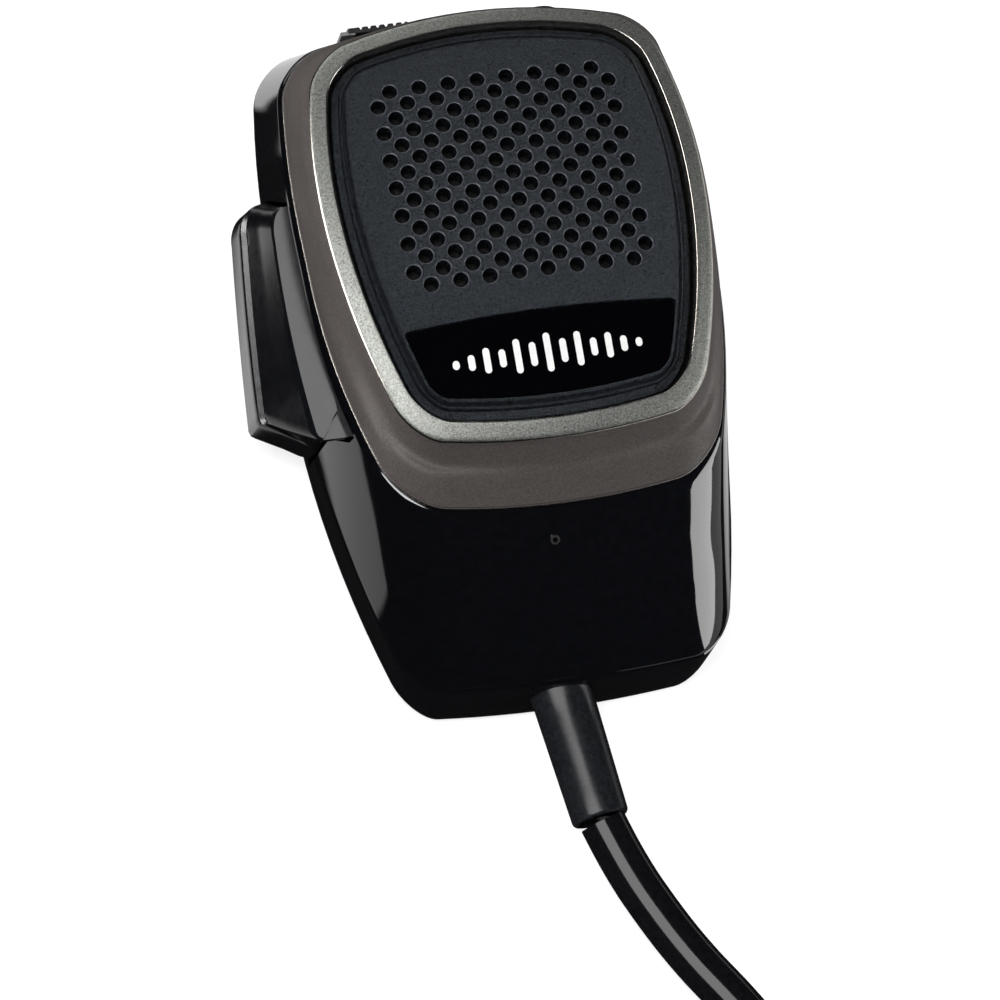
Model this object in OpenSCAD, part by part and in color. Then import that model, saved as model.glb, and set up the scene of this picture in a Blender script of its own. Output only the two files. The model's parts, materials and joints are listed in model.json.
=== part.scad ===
// Hand microphone with a talk bar, two step buttons, a slide switch and a curly cord.
// Lies on its back: the table is Z = 0, +Y points to the microphone's top end, the grille faces +Z.
// The origin is the centre of the hang button's flat head. Millimetres.

/* [Body] */
// Widest width of the two shells
body_w = 58; // [56:0.5:60]
// Hang button axis to the top end
body_top = 32; // [31.6:0.1:32.4]
// Hang button axis to the cord end
body_bottom = 63.3; // [62.5:0.1:64]
// Height of the line where the shells part
parting_h = 12.5; // [12:0.1:13]
// Height of the front shell's ledge, where the bezel sits
seat_h = 27.6; // [27.2:0.1:28]
// Height of the middle of the grille
grille_h = 39.5; // [39:0.1:40]
// Wall thickness of the shells
wall = 2; // [1.6:0.1:2.2]

/* [Grille] */
// Radius of the domed front
dome_r = 145; // [135:1:160]
// Diameter of one sound hole
hole_d = 2; // [1.6:0.1:2.2]
// Distance between holes in a row
hole_pitch = 4; // [3.9:0.05:4.1]
// Rows of sound holes
hole_rows = 15; // [11:2:15]
// Holes in the short rows, with one more in the long rows
row_holes = 8; // [6:2:8]
// Thickness of the panel
panel_t = 1.9; // [1.6:0.1:2]

/* [Talk bar] */
// Distance from the middle to the pivot pin
pin_x = 26.3; // [26.2:0.1:26.4]
// Pivot pin's place along the body
pin_y = 1.6; // [1.2:0.1:2]
// Radius of the pivot pin
pin_r = 1; // [0.8:0.1:1.1]
// Gap between the bar and the edges of its window
bar_gap = 0.45; // [0.35:0.05:0.6]

/* [Top controls] */
// Height of the slide switch and the two buttons above the table
control_h = 21; // [20.6:0.1:21.4]
// Radius of a step button
button_r = 3.1; // [2.8:0.1:3.3]
// Places of the two step buttons across the body
button_x = [-1.6, 12.9];
// Middle of the slide knob across the body
knob_x = -9.9; // [-10:0.1:-9.6]

/* [Hang button] */
// Radius of the head
hang_head_r = 6.5; // [6:0.1:7]
// Radius of the neck
hang_neck_r = 3.5; // [3:0.1:4]

/* [Cord] */
// Diameter of the cord
cord_d = 6.3; // [6:0.1:6.4]
// Radius of the middle of one curl
curl_r = 6; // [5.8:0.1:6.1]
// Length of the first leg of the folded curls
curl_leg = 95; // [90:1:100]

/* [Plug] */
// Radius of the coupling ring
ring_r = 9.5; // [9.3:0.1:9.8]
// Radius inside the coupling ring's thread
thread_r = 7.5; // [7.4:0.05:7.6]

/* [Hidden] */
$fn = 48;
arc_steps = 6;
end_steps = 5;
side_steps = 7;
tube_sides = 10;
joint_gap = 0.3;
shell_x = body_w / 2;
dome_center = grille_h - dome_r;
exit_at = [-0.8, -61.5, 7.1];
exit_turn = 6.3;
exit_dip = 4.2;
relief_len = 19.5;
relief_flange = 3.4;
// Outlines: [half width, top y, bottom y, top corner r, bottom corner r,
//            taper above y 0, taper below the start, start of that taper, top bow, bottom bow]
parting_line = [shell_x, body_top, -body_bottom, 6.5, 6.2, 0.0034, 0.0031, -15, 0.0016, 0.0016];
seat_line = [28.2, 27.7, -43.8, 6.5, 7, 0.0032, 0.005, -8, 0.004, 0.003];
bezel_line = [27.6, 27, -43.2, 6, 7, 0.0032, 0.005, -8, 0.004, 0.003];
bezel_mid = [27.75, 26.6, -39.9, 5, 6.5, 0.0038, 0.0048, -4, 0.0042, 0.0033];
bezel_high = [27.15, 25.6, -38.6, 4.6, 6, 0.005, 0.0046, 0, 0.0045, 0.0036];
rim_out = [26.1, 24.4, -36.2, 5.5, 5.2, 0.0055, 0.0048, 0, 0.005, 0.0036];
rim_in = [24.25, 22.4, -34, 5, 5, 0.006, 0.0052, 0, 0.0053, 0.0038];
panel_line = [23.3, 21.6, -33.2, 4.5, 4.5, 0.006, 0.0052, 0, 0.0053, 0.0038];
plateau_line = [21.7, 20, -31.4, 3.6, 3, 0.006, 0.0053, 0, 0.0053, 0.0038];
plate_line = [20.3, -19.5, -30.6, 0.5, 1.6, 0, 0.0046, 0, 0.0012, 0.0038];
capsule_hole_r = 14;
slope_heights = [12.5, 13.8, 15.3, 17.2, 20, 23.5];
slope_ends = [0, -1.0, -2.6, -5.0, -8.9, -13.5];
pillar_places = [[-22.4, 19.5], [22.4, 19.5], [-16.5, -48], [16.5, -48]];
board_places = [[-13, 15], [13, 15], [0, -33]];
bezel_places = [[-21.6, 9], [21.6, 9], [-19.6, -24], [19.6, -24]];
clamp_places = [[-9.2, -50], [5, -50]];
board_z = 14;
board_t = 1.6;
board_top = board_z + board_t;
bar_front = 25.8;
port_at = [-1.65, -47.3, 25.2];
curl_bend = 12;
leg_x = [21, 21 - 2 * curl_bend, 21 - 4 * curl_bend];
curl_start = -130;
curl_low = curl_start - curl_leg;
curl_high = -145;
curl_stop = -180;
curl_out = curl_r + cord_d / 2;
plug_y = -244;
lead_route = [
    [1.5, -81.1, 5.6], [2.3, -83.6, 5.2], [3.3, -86.4, 4.7], [4.7, -89.9, 4.2], [6.5, -93.8, 3.8],
    [8.8, -98.3, 3.4], [11.4, -102.8, 3.2], [14.1, -107, 3.15], [16.5, -111.2, 3.15],
    [18.6, -115.7, 3.15], [20.1, -120.4, 3.15], [20.8, -125.2, 3.15], [21, -130, 3.15]
];
tail_route = [
    [leg_x[2], curl_stop, curl_out], [leg_x[2], -185, 9.2], [leg_x[2], -190, 9.4], [leg_x[2], -196, ring_r]
];

// ---- Outlines and lofts ----

function blend(a, b, t) = a + (b - a) * t;

function grown(o, g) = [
    o[0] + g, o[1] + g, o[2] - g, max(0.4, o[3] + g), max(0.4, o[4] + g), o[5], o[6], o[7], o[8], o[9]
];

function side_taper(o, y) =
    1 - (o[5] * pow(max(0, y), 2) + o[6] * pow(max(0, o[7] - y), 2)) / o[0];

function end_bow(o, x, y) =
    let (mid = (o[1] + o[2]) / 2, half = (o[1] - o[2]) / 2)
    x * x * (o[9] * max(0, (mid - y) / half) - o[8] * max(0, (y - mid) / half));

function warped(o, p) = [p[0] * side_taper(o, p[1]), p[1] + end_bow(o, p[0], p[1])];

function arc(cx, cy, r, from) = [
    for (i = [0:arc_steps]) let (a = from + 90 * i / arc_steps) [cx + r * cos(a), cy + r * sin(a)]
];

function run(a, b, steps) = [for (i = [1:steps - 1]) blend(a, b, i / steps)];

// One closed outline, anticlockwise from the right-hand top corner.
function outline(o) =
    let (w = o[0], t = o[1], b = o[2], rt = o[3], rb = o[4])
    [for (p = concat(
        arc(w - rt, t - rt, rt, 0),
        run([w - rt, t], [rt - w, t], end_steps),
        arc(rt - w, t - rt, rt, 90),
        run([-w, t - rt], [-w, b + rb], side_steps),
        arc(rb - w, b + rb, rb, 180),
        run([rb - w, b], [w - rb, b], end_steps),
        arc(w - rb, b + rb, rb, 270),
        run([w, b + rb], [w, t - rt], side_steps)
    )) warped(o, p)];

points_round = 4 * (arc_steps + 1) + 2 * (end_steps - 1) + 2 * (side_steps - 1);

// Height of the domed front, or of a surface dz outside it.
function dome(p, dz = 0) = dome_center + sqrt(pow(dome_r + dz, 2) - p[0] * p[0] - p[1] * p[1]);

function flat_ring(o, z) = [for (p = outline(o)) [p[0], p[1], z]];

function dome_ring(o, dz) = [for (p = outline(o)) [p[0], p[1], dome(p, dz)]];

function circle_ring(r, z) = [
    for (p = outline(seat_line)) let (a = atan2(p[1], p[0])) [r * cos(a), r * sin(a), z]
];

// The back rises slowly towards the top end.
function back_z(y) = 0.1 * (y + 20 + sqrt(pow(y + 20, 2) + 64));

function back_round(y) = min(4.5, (parting_h - back_z(y)) * 0.8);

// The long edges of the back are well rounded, the cord end only a little.
function back_line(o, side, end) =
    [o[0] - side, o[1] - side, o[2] + end, max(2, o[3] - side * 0.6), o[4] - side, o[5], o[6], o[7], o[8], o[9]];

function back_ring(o, side, end, lift, angle) = [
    for (p = outline(back_line(o, side, end)))
    [p[0], p[1], min(parting_h, back_z(p[1]) + lift + back_round(p[1]) * (1 - sin(angle)))]
];

// Where a screw pillar of the front shell meets the rear shell's boss.
function pillar_base(y) = min(parting_h, max(back_z(y) + 5.3, 7.3));

function shrunk(ring, k, mid_y, lift) = [
    for (p = ring) let (y = mid_y + (p[1] - mid_y) * k) [p[0] * k, y, back_z(y) + lift]
];

function quads(n, a, b) = [
    for (j = [0:n - 1]) let (k = (j + 1) % n)
    each [[a * n + j, b * n + j, b * n + k], [a * n + j, b * n + k, a * n + k]]
];

// Rings joined in order and back to the first, like a tyre.
module ring_loop(rings) {
    n = len(rings[0]);
    m = len(rings);
    polyhedron([for (r = rings) each r], [for (i = [0:m - 1]) each quads(n, i, (i + 1) % m)]);
}

// Rings joined in order, closed at both ends.
module ring_stack(rings, first_mid, last_mid) {
    n = len(rings[0]);
    m = len(rings);
    polyhedron(
        concat([for (r = rings) each r], [first_mid, last_mid]),
        concat(
            [for (i = [0:m - 2]) each quads(n, i, i + 1)],
            [for (j = [0:n - 1]) [m * n, j, (j + 1) % n]],
            [for (j = [0:n - 1]) [m * n + 1, (m - 1) * n + (j + 1) % n, (m - 1) * n + j]]
        )
    );
}

function unit(v) = v / norm(v);

function along(path, i) = unit(path[min(i + 1, len(path) - 1)] - path[max(i - 1, 0)]);

module tube(path, r, sides, up) {
    rings = [
        for (i = [0:len(path) - 1])
        let (t = along(path, i), u = unit(cross(t, up)), v = cross(t, u))
        [for (j = [0:sides - 1]) path[i] + r * (cos(360 * j / sides) * u + sin(360 * j / sides) * v)]
    ];
    ring_stack(rings, path[0], path[len(path) - 1]);
}

// ---- Places ----

module at_exit() {
    translate(exit_at) rotate([0, 0, exit_turn]) rotate([exit_dip, 0, 0]) rotate([90, 0, 0]) children();
}

module at_plug() {
    translate([leg_x[2], plug_y, ring_r]) rotate([-90, 0, 0]) rotate(180) children();
}

module on_top(x, y) {
    translate([x, y, control_h]) rotate([-90, 0, 0]) children();
}

module screw(head_r, head_h, r, len) {
    difference() {
        union() {
            cylinder(r = head_r, h = head_h);
            cylinder(r = r, h = head_h + len);
        }
        for (a = [0, 90]) rotate(a) translate([-head_r * 0.7, -0.3, -0.1]) cube([head_r * 1.4, 0.6, 0.7]);
    }
}

// ---- Shells ----

module bar_window() {
    g = bar_gap;
    translate([-40, 0, 0]) rotate([90, 0, 90]) linear_extrude(17)
        polygon([[-29.3 - g, bar_front + g], [4.6 + g, bar_front + g], [5 + g, 24.6], [8.7 + g, 16.6],
            [9.7 + g, 12], [9.7 + g, 10.5], [-25.6 - g, 6.65], [-26.6 - g, 13], [-26.6 - g, 19.5],
            [-29.3 - g, 24.6]]);
}

function front_ring(i) =
    let (t = (slope_heights[i] - parting_h) / (seat_h - parting_h), o = blend(parting_line, seat_line, t))
    [o[0], o[1], -body_bottom - slope_ends[i], o[3], o[4], o[5], o[6], o[7], o[8], o[9]];

module front_shell() {
    last = len(slope_heights) - 1;
    rings = concat(
        [for (i = [0:last]) flat_ring(front_ring(i), slope_heights[i] + (i == 0 ? parting_h - 12.5 : 0))],
        [flat_ring(grown(seat_line, -0.3), seat_h - 0.5), flat_ring(grown(seat_line, -0.5), seat_h),
            circle_ring(capsule_hole_r, seat_h), circle_ring(capsule_hole_r, seat_h - wall),
            flat_ring(grown(seat_line, -wall - 1), seat_h - wall)],
        [for (i = [last:-1:0]) flat_ring(grown(front_ring(i), -wall - (i > 1 ? 0.8 : 0)),
            slope_heights[i] + (i == 0 ? parting_h - 12.5 : -0.6 * min(1, i)))]
    );
    color([0.03, 0.03, 0.035]) difference() {
        union() {
            ring_loop(rings);
            for (p = pillar_places) translate([p[0], p[1], pillar_base(p[1])])
                cylinder(r = 3, h = (p[1] > 0 ? seat_h - 0.8 : 21) - pillar_base(p[1]));
        }
        bar_window();
        for (p = pillar_places) translate([p[0], p[1], 0]) cylinder(r = 1.1, h = 19);
        for (p = bezel_places) translate([p[0], p[1], seat_h - 5]) cylinder(r = 1.3, h = 8);
        for (x = button_x) on_top(x, 24) {
            cylinder(r = button_r + joint_gap, h = 9);
            cylinder(r = button_r + 1.4, h = 2.9);
        }
        translate([-17.9, 28.9, control_h - 3]) cube([12.8, 4, 9]);
        translate([-14.4, 24, control_h - 1.6]) cube([7.4, 9, 3.2]);
        translate(port_at) rotate([34.3, 0, 0]) cylinder(r = 0.7, h = 8, center = true);
        translate([-pin_x, pin_y, 20]) cylinder(r = pin_r, h = 7.2);
    }
}

module rear_shell() {
    o = parting_line;
    mid_y = -16;
    outer = [for (a = [0:18:90]) back_ring(o, 0.6 + 4 * (1 - cos(a)), 0.1 + 0.6 * (1 - cos(a)), 0, a)];
    inner = [for (a = [0:18:90]) back_ring(o, wall + 0.6 + 3 * (1 - cos(a)), wall + 0.6, wall, a)];
    rings = concat(
        [for (k = [0.25, 0.5, 0.75]) shrunk(outer[5], k, mid_y, 0)],
        [for (i = [5:-1:0]) outer[i]],
        [flat_ring(o, parting_h), flat_ring(grown(o, -wall), parting_h)],
        inner,
        [for (k = [0.75, 0.5, 0.25]) shrunk(inner[5], k, mid_y, wall)]
    );
    color([0.03, 0.03, 0.035]) difference() {
        union() {
            ring_stack(rings, [0, mid_y, back_z(mid_y)], [0, mid_y, back_z(mid_y) + wall]);
            for (p = pillar_places) translate([p[0], p[1], back_z(p[1]) + 0.5])
                cylinder(r = 4, h = pillar_base(p[1]) - back_z(p[1]) - 0.7);
            for (p = board_places) translate([p[0], p[1], back_z(p[1]) + 0.5])
                cylinder(r = 2.6, h = board_z - back_z(p[1]) - 0.5);
            for (p = clamp_places) translate([p[0], p[1], 1]) cylinder(r = 2.6, h = 8.4);
            translate([-5.4, -53, 1]) cube([7, 6, 5.4]);
            translate([0, 0, 3.4]) cylinder(r = 7.6, h = 4.6);
            translate([-20.2, -24, 1.5]) cube([1.8, 6, 20]);
            translate([-pin_x, pin_y, 6]) cylinder(r = 2.2, h = 2.4);
        }
        bar_window();
        for (p = pillar_places) translate([p[0], p[1], -1]) cylinder(r = 2.9, h = back_z(p[1]) + 3.2);
        for (p = pillar_places) translate([p[0], p[1], 0]) cylinder(r = 1.4, h = 16);
        for (p = board_places) translate([p[0], p[1], board_z - 6]) cylinder(r = 0.8, h = 8);
        for (p = clamp_places) translate([p[0], p[1], 3]) cylinder(r = 0.9, h = 8);
        translate([0, 0, -1]) cylinder(r = 2, h = 12);
        translate([-pin_x, pin_y, 6.6]) cylinder(r = pin_r, h = 6);
        at_exit() translate([0, 0, -20]) cylinder(r = cord_d / 2, h = 30);
        at_exit() translate([0, 0, -2]) cylinder(r = 4.3, h = 10);
    }
}

module bezel() {
    color([0.36, 0.33, 0.31]) difference() {
        union() {
            ring_loop([
                flat_ring(bezel_line, seat_h),
                flat_ring(bezel_mid, seat_h + 3.2),
                dome_ring(bezel_high, -2.4),
                dome_ring(grown(rim_out, 0.35), -0.7),
                dome_ring(grown(rim_out, -0.15), -0.15),
                dome_ring(rim_in, 0.1),
                dome_ring(grown(panel_line, 0.1), -1.9),
                dome_ring(grown(panel_line, 0.1), -panel_t - 1.35),
                dome_ring(grown(panel_line, -1.4), -panel_t - 1.35),
                dome_ring(grown(panel_line, -1.4), -panel_t - 2.9),
                flat_ring(grown(bezel_line, -2.2), seat_h)
            ]);
            for (p = bezel_places) translate([p[0], p[1], seat_h])
                cylinder(r = 2.2, h = dome(p) - panel_t - 1.8 - seat_h);
        }
        for (p = bezel_places) translate([p[0], p[1], seat_h - 1]) cylinder(r = 0.9, h = 5.5);
    }
}

// ---- Front: panel, felt, plate ----

module dome_slab(o, top, bottom) {
    difference() {
        intersection() {
            translate([0, 0, grille_h - 12]) linear_extrude(14) polygon(outline(o));
            translate([0, 0, dome_center]) sphere(r = dome_r + top, $fn = 200);
        }
        translate([0, 0, dome_center]) sphere(r = dome_r + bottom, $fn = 200);
    }
}

module sound_holes() {
    for (row = [0:hole_rows - 1]) {
        n = row_holes + row % 2;
        for (i = [0:n - 1])
            translate([(i - (n - 1) / 2) * hole_pitch, ((hole_rows - 1) / 2 - row) * hole_pitch / 2,
                grille_h - 6]) cylinder(d = hole_d, h = 8, $fn = 24);
    }
}

module grille_panel() {
    color([0.13, 0.14, 0.17]) difference() {
        union() {
            dome_slab(plateau_line, 0, -panel_t);
            dome_slab(panel_line, -1.3, -panel_t - 1.3);
        }
        sound_holes();
        dome_slab(grown(plate_line, 0.15), 1, -1.1);
    }
}

module grille_felt() {
    color([0.05, 0.05, 0.05]) difference() {
        intersection() {
            translate([-18.5, -16.5, grille_h - 12]) cube([37, 33, 14]);
            translate([0, 0, dome_center]) sphere(r = dome_r - panel_t - 1.35, $fn = 200);
        }
        translate([0, 0, dome_center]) sphere(r = dome_r - panel_t - 1.95, $fn = 200);
    }
}

module name_plate() {
    color([0.01, 0.01, 0.012]) dome_slab(plate_line, -0.3, -1.1);
}

module port_ring() {
    color([0.3, 0.32, 0.34]) translate(port_at) rotate([34.3, 0, 0]) difference() {
        translate([0, 0, -1.6]) cylinder(r = 0.65, h = 2);
        translate([0, 0, -2]) cylinder(r = 0.35, h = 4);
    }
}

module mic_capsule() {
    color([0.62, 0.62, 0.63]) difference() {
        translate([0, 0, 24.6]) cylinder(r = 10, h = 9);
        translate([0, 0, 33]) cylinder(r = 8.6, h = 1);
        for (a = [0:60:359]) rotate(a) translate([5, 0, 32.4]) cylinder(r = 0.9, h = 2, $fn = 16);
    }
}

module capsule_boot() {
    color([0.06, 0.06, 0.06]) rotate_extrude() polygon([
        [10, 24], [13.8, 24], [13.8, seat_h - wall - 0.8], [15.4, seat_h - wall - 0.8],
        [15.4, seat_h - wall - 0.05], [capsule_hole_r - 0.4, seat_h - wall - 0.05],
        [capsule_hole_r - 0.4, seat_h + 0.05], [15.4, seat_h + 0.05], [15.4, seat_h + 1],
        [12.6, seat_h + 1], [12.6, 34.4], [10, 34.4]
    ]);
}

// ---- Talk bar ----

// A ring of the bar: [height, rise per mm of y, top y, outer x at the top, middle and bottom,
//                     bottom y on the outside, bottom y on the inside, inner x]
bar_rings = [
    [7.2, 0.11, 8.8, 32.3, 33.9, 34.6, -20.2, -24.8, 28],
    [8, 0.11, 9.6, 33.5, 34.8, 35.8, -21.6, -25.4, 28],
    [13.7, 0.08, 8.6, 33.3, 34.6, 35.5, -22.2, -26.4, 28],
    [14.2, 0.08, 8.6, 33.1, 34.4, 35.3, -22.2, -26.4, 28],
    [14.4, 0.08, 8.5, 32.4, 33.7, 34.6, -22.3, -26.4, 28],
    [15, 0.08, 8.4, 32.5, 33.8, 34.7, -22.5, -26.4, 28],
    [20, 0.03, 6.6, 31.7, 32.7, 32.9, -25.8, -26.6, 28],
    [bar_front - 0.4, 0, 4.6, 31, 31.5, 30.9, -29.3, -25.6, 27.2],
    [bar_front, 0, 4.4, 30.7, 31.2, 30.6, -29.1, -25.4, 27.2]
];

function bar_edge(b, t) =
    b[3] * pow(1 - t, 2) + (2 * b[4] - (b[3] + b[5]) / 2) * 2 * t * (1 - t) + b[5] * t * t;

function bar_ring(b) =
    let (top = b[2], low = b[6], low_in = b[7], inner = b[8], steps = 8)
    [for (p = concat(
        [[-inner, low_in], [-inner, top - 0.8], [-inner - 0.8, top], [-blend(inner, b[3], 0.35), top]],
        [for (a = [30, 60]) [-blend(blend(inner, b[3], 0.35), b[3], sin(a)), top - 4.6 * (1 - cos(a))]],
        [for (i = [0:steps]) let (t = i / steps) [-bar_edge(b, t), blend(top - 4.6, low + 1.1, t)]],
        [[-b[5] + 0.8, low], [-blend(inner, b[5], 0.45), blend(low_in, low, 0.55) - 0.2]]
    )) [p[0], p[1], b[0] + b[1] * (p[1] + 25)]];

module talk_bar() {
    rings = [for (b = bar_rings) bar_ring(b)];
    lowest = rings[0];
    top = rings[len(rings) - 1];
    color([0.05, 0.05, 0.055]) difference() {
        union() {
            ring_stack(rings, (lowest[0] + lowest[8]) / 2, (top[0] + top[8]) / 2);
            translate([-29.4, -23.6, 11.6]) cube([5, 29, 11.2]);
            translate([-29.9, -29, 24.1]) cube([5.6, 8, 0.8]);
        }
        translate([-pin_x, pin_y, 0]) cylinder(r = pin_r + 0.05, h = 40);
        translate([-26, -20.9, 18.6]) rotate([0, 90, 0]) cylinder(r = 2.8, h = 3);
    }
}

module talk_pin() {
    color([0.7, 0.7, 0.72]) translate([-pin_x, pin_y, 6.6]) cylinder(r = pin_r, h = 20.6);
}

module talk_spring() {
    turns = 5;
    steps = 12;
    path = [
        for (i = [0:turns * steps])
        let (t = i / (turns * steps), a = 360 * turns * t)
        [-25.65 + 5.1 * t, -20.9 + 2 * cos(a), 18.6 + 2 * sin(a)]
    ];
    color([0.75, 0.75, 0.77]) tube(path, 0.3, 6, [1, 0, 0]);
}

module talk_switch() {
    color([0.08, 0.08, 0.08]) difference() {
        translate([-22.4, -16.2, board_top]) cube([8, 8.4, 6.2]);
        translate([-23, -12, 18.8]) rotate([0, 90, 0]) cylinder(r = 1.05, h = 4);
    }
}

module talk_plunger() {
    color([0.75, 0.1, 0.08]) translate([-24.2, -12, 18.8]) rotate([0, 90, 0]) cylinder(r = 1, h = 4);
}

// ---- Board ----

module circuit_board() {
    color([0.1, 0.35, 0.2]) difference() {
        translate([-17.4, -38, board_z]) cube([34.8, 61, board_t]);
        for (p = board_places) translate([p[0], p[1], board_z - 1]) cylinder(r = 1.1, h = 4);
        translate([0, 0, board_z - 1]) cylinder(r = 3, h = 4);
    }
}

module capacitors() {
    color([0.12, 0.14, 0.3]) for (p = [[8, -18], [14, -18], [11, -27]])
        translate([p[0], p[1], board_top]) cylinder(r = 2.5, h = 7);
}

module trimmer() {
    color([0.15, 0.3, 0.6]) difference() {
        union() {
            translate([-9.4, -24.4, board_top]) cube([6.8, 6.8, 2.4]);
            translate([-6, -21, board_top]) cylinder(r = 2.6, h = 3.8);
        }
        translate([-8, -21.3, board_top + 3]) cube([4, 0.6, 1]);
    }
}

module wire_header() {
    color([0.85, 0.84, 0.78]) difference() {
        translate([-7, -36.5, board_top]) cube([14, 5, 6]);
        for (i = [0:4]) translate([-5.2 + 2.6 * i, -34, board_top + 1]) cylinder(r = 0.8, h = 6, $fn = 16);
        translate([-2.3, -35.4, board_top - 0.1]) cube([4.6, 4.4, 2.2]);
    }
}

// ---- Top controls ----

module slide_knob() {
    color([0.06, 0.06, 0.065]) difference() {
        union() {
            translate([knob_x - 4.4, 29.2, control_h - 2.2]) cube([8.8, 0.9, 4.4]);
            translate([knob_x - 1.6, 24.7, control_h - 1.3]) cube([3.2, 4.7, 2.6]);
            translate([knob_x - 5.3, 29, control_h - 2.2]) cube([2, 0.55, 4.4]);
        }
        for (i = [1:6]) translate([knob_x - 3.9 + 1.2 * i, 29.7, control_h - 3]) cube([0.6, 1, 6]);
    }
}

module slide_switch() {
    color([0.6, 0.6, 0.62]) difference() {
        translate([-15.6, 18.6, board_top]) cube([9.3, 6.6, 7.4]);
        translate([-14.4, 24.3, control_h - 1.6]) cube([6.6, 2, 3.2]);
    }
}

module step_button(x) {
    color([0.05, 0.05, 0.055]) on_top(x, 25.5) {
        cylinder(r = button_r + 1, h = 0.9);
        cylinder(r = button_r, h = 3.9);
        translate([0, 0, 3.9]) intersection() {
            translate([0, 0, -4.5]) sphere(r = 5.46);
            cylinder(r = button_r, h = 1);
        }
    }
}

module up_button() {
    step_button(button_x[0]);
}

module down_button() {
    step_button(button_x[1]);
}

module stem(x) {
    color([0.7, 0.7, 0.7]) on_top(x, 22.6) cylinder(r = 1.2, h = 2.9);
}

module up_stem() {
    stem(button_x[0]);
}

module down_stem() {
    stem(button_x[1]);
}

module tact_switches() {
    color([0.1, 0.1, 0.1]) for (x = button_x) difference() {
        translate([x - 3, 19.6, board_top]) cube([6, 5, 8.4]);
        on_top(x, 22) cylinder(r = 1.3, h = 4);
    }
}

// ---- Hang button and screws ----

module hang_button() {
    color([0.72, 0.72, 0.73]) difference() {
        rotate_extrude() polygon([
            [0, 0], [hang_head_r - 0.4, 0], [hang_head_r, 0.5], [hang_head_r, 1.3],
            [hang_head_r - 0.6, 1.7], [hang_neck_r, 1.8], [hang_neck_r, 3.4], [2, 3.4], [2, 7.8], [0, 7.8]
        ]);
        translate([0, 0, 3]) cylinder(r = 1.2, h = 6);
    }
}

module hang_screw() {
    color([0.8, 0.8, 0.8]) translate([0, 0, 9.9]) rotate([180, 0, 0]) screw(2.9, 1.9, 1.2, 4.6);
}

module case_screws() {
    color([0.2, 0.2, 0.2]) for (p = pillar_places)
        translate([p[0], p[1], back_z(p[1]) + 0.5]) screw(2.6, 1.7, 1.1, p[1] > 0 ? 8.2 : 13);
}

module board_screws() {
    color([0.75, 0.75, 0.75]) for (p = board_places)
        translate([p[0], p[1], board_top + 1.3]) rotate([180, 0, 0]) screw(1.9, 1.3, 0.8, 6.5);
}

module bezel_screws() {
    color([0.75, 0.75, 0.75]) for (p = bezel_places)
        translate([p[0], p[1], seat_h - wall - 1.5]) screw(2.2, 1.5, 0.9, 5.4);
}

// ---- Cord ----

module strain_relief() {
    color([0.03, 0.03, 0.03]) at_exit() difference() {
        rotate_extrude() polygon([
            [0, -1.9], [4.3, -1.9], [4.3, 1.6], [relief_flange + 0.8, 1.9], [3.9, relief_len - 0.6],
            [3.6, relief_len], [0, relief_len]
        ]);
        translate([0, 0, -3]) cylinder(r = cord_d / 2, h = relief_len + 6);
    }
}

module cord_inner() {
    color([0.03, 0.03, 0.03]) at_exit() translate([0, 0, -17]) cylinder(r = cord_d / 2, h = 16.5 + relief_len);
}

module cord_clamp() {
    color([0.7, 0.7, 0.72]) difference() {
        translate([-12, -52.6, 9.4]) cube([20, 5.2, 2.8]);
        at_exit() translate([0, 0, -20]) cylinder(r = cord_d / 2, h = 30);
        for (p = clamp_places) translate([p[0], p[1], 8]) cylinder(r = 1.1, h = 6);
    }
}

module clamp_screws() {
    color([0.8, 0.8, 0.8]) for (p = clamp_places)
        translate([p[0], p[1], 13.6]) rotate([180, 0, 0]) screw(2, 1.4, 0.9, 7);
}

module cord_lead() {
    color([0.03, 0.03, 0.03]) tube(lead_route, cord_d / 2, tube_sides, [0, 0, 1]);
}

// Half a ring of curls about a point between two legs, bulging to +Y, or turned round to -Y.
module curl_fold(x, y, turn) {
    translate([x, y, curl_out]) rotate(turn) rotate_extrude(angle = 180)
        translate([curl_bend, 0]) circle(r = curl_out);
}

module curl_run(x, from, to) {
    translate([x, from, curl_out]) rotate([90, 0, 0]) cylinder(r = curl_out, h = from - to);
}

module cord_curl() {
    color([0.03, 0.03, 0.03]) {
        curl_run(leg_x[0], curl_start, curl_low);
        curl_fold(leg_x[0] - curl_bend, curl_low, 180);
        curl_run(leg_x[1], curl_high, curl_low);
        curl_fold(leg_x[1] - curl_bend, curl_high, 0);
        curl_run(leg_x[2], curl_high, curl_stop);
    }
}

module cord_tail() {
    color([0.03, 0.03, 0.03]) tube(tail_route, cord_d / 2, tube_sides, [0, 0, 1]);
}

module tie_shape(r) {
    for (x = [leg_x[2], leg_x[0]]) translate([x, curl_out]) circle(r = r);
    translate([leg_x[2], curl_out - r]) square([leg_x[0] - leg_x[2], 2 * r]);
}

module cord_tie() {
    color([0.1, 0.1, 0.12]) translate([0, -159, 0]) rotate([90, 0, 0]) linear_extrude(7) intersection() {
        difference() {
            tie_shape(curl_out + 0.8);
            tie_shape(curl_out + 0.05);
        }
        translate([-50, 0]) square([100, 30]);
    }
}

// ---- Plug ----

module plug_body() {
    color([0.75, 0.75, 0.76]) at_plug() difference() {
        rotate_extrude() polygon([
            [6.8, 14.4], [8.6, 14.4], [8.6, 15.8], [8, 15.8], [8, 33], [7.2, 36], [4.4, 36], [4.4, 34.4],
            [6.8, 32.4]
        ]);
        translate([0, 6, 30]) rotate([-90, 0, 0]) cylinder(r = 1.2, h = 4);
    }
}

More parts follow.
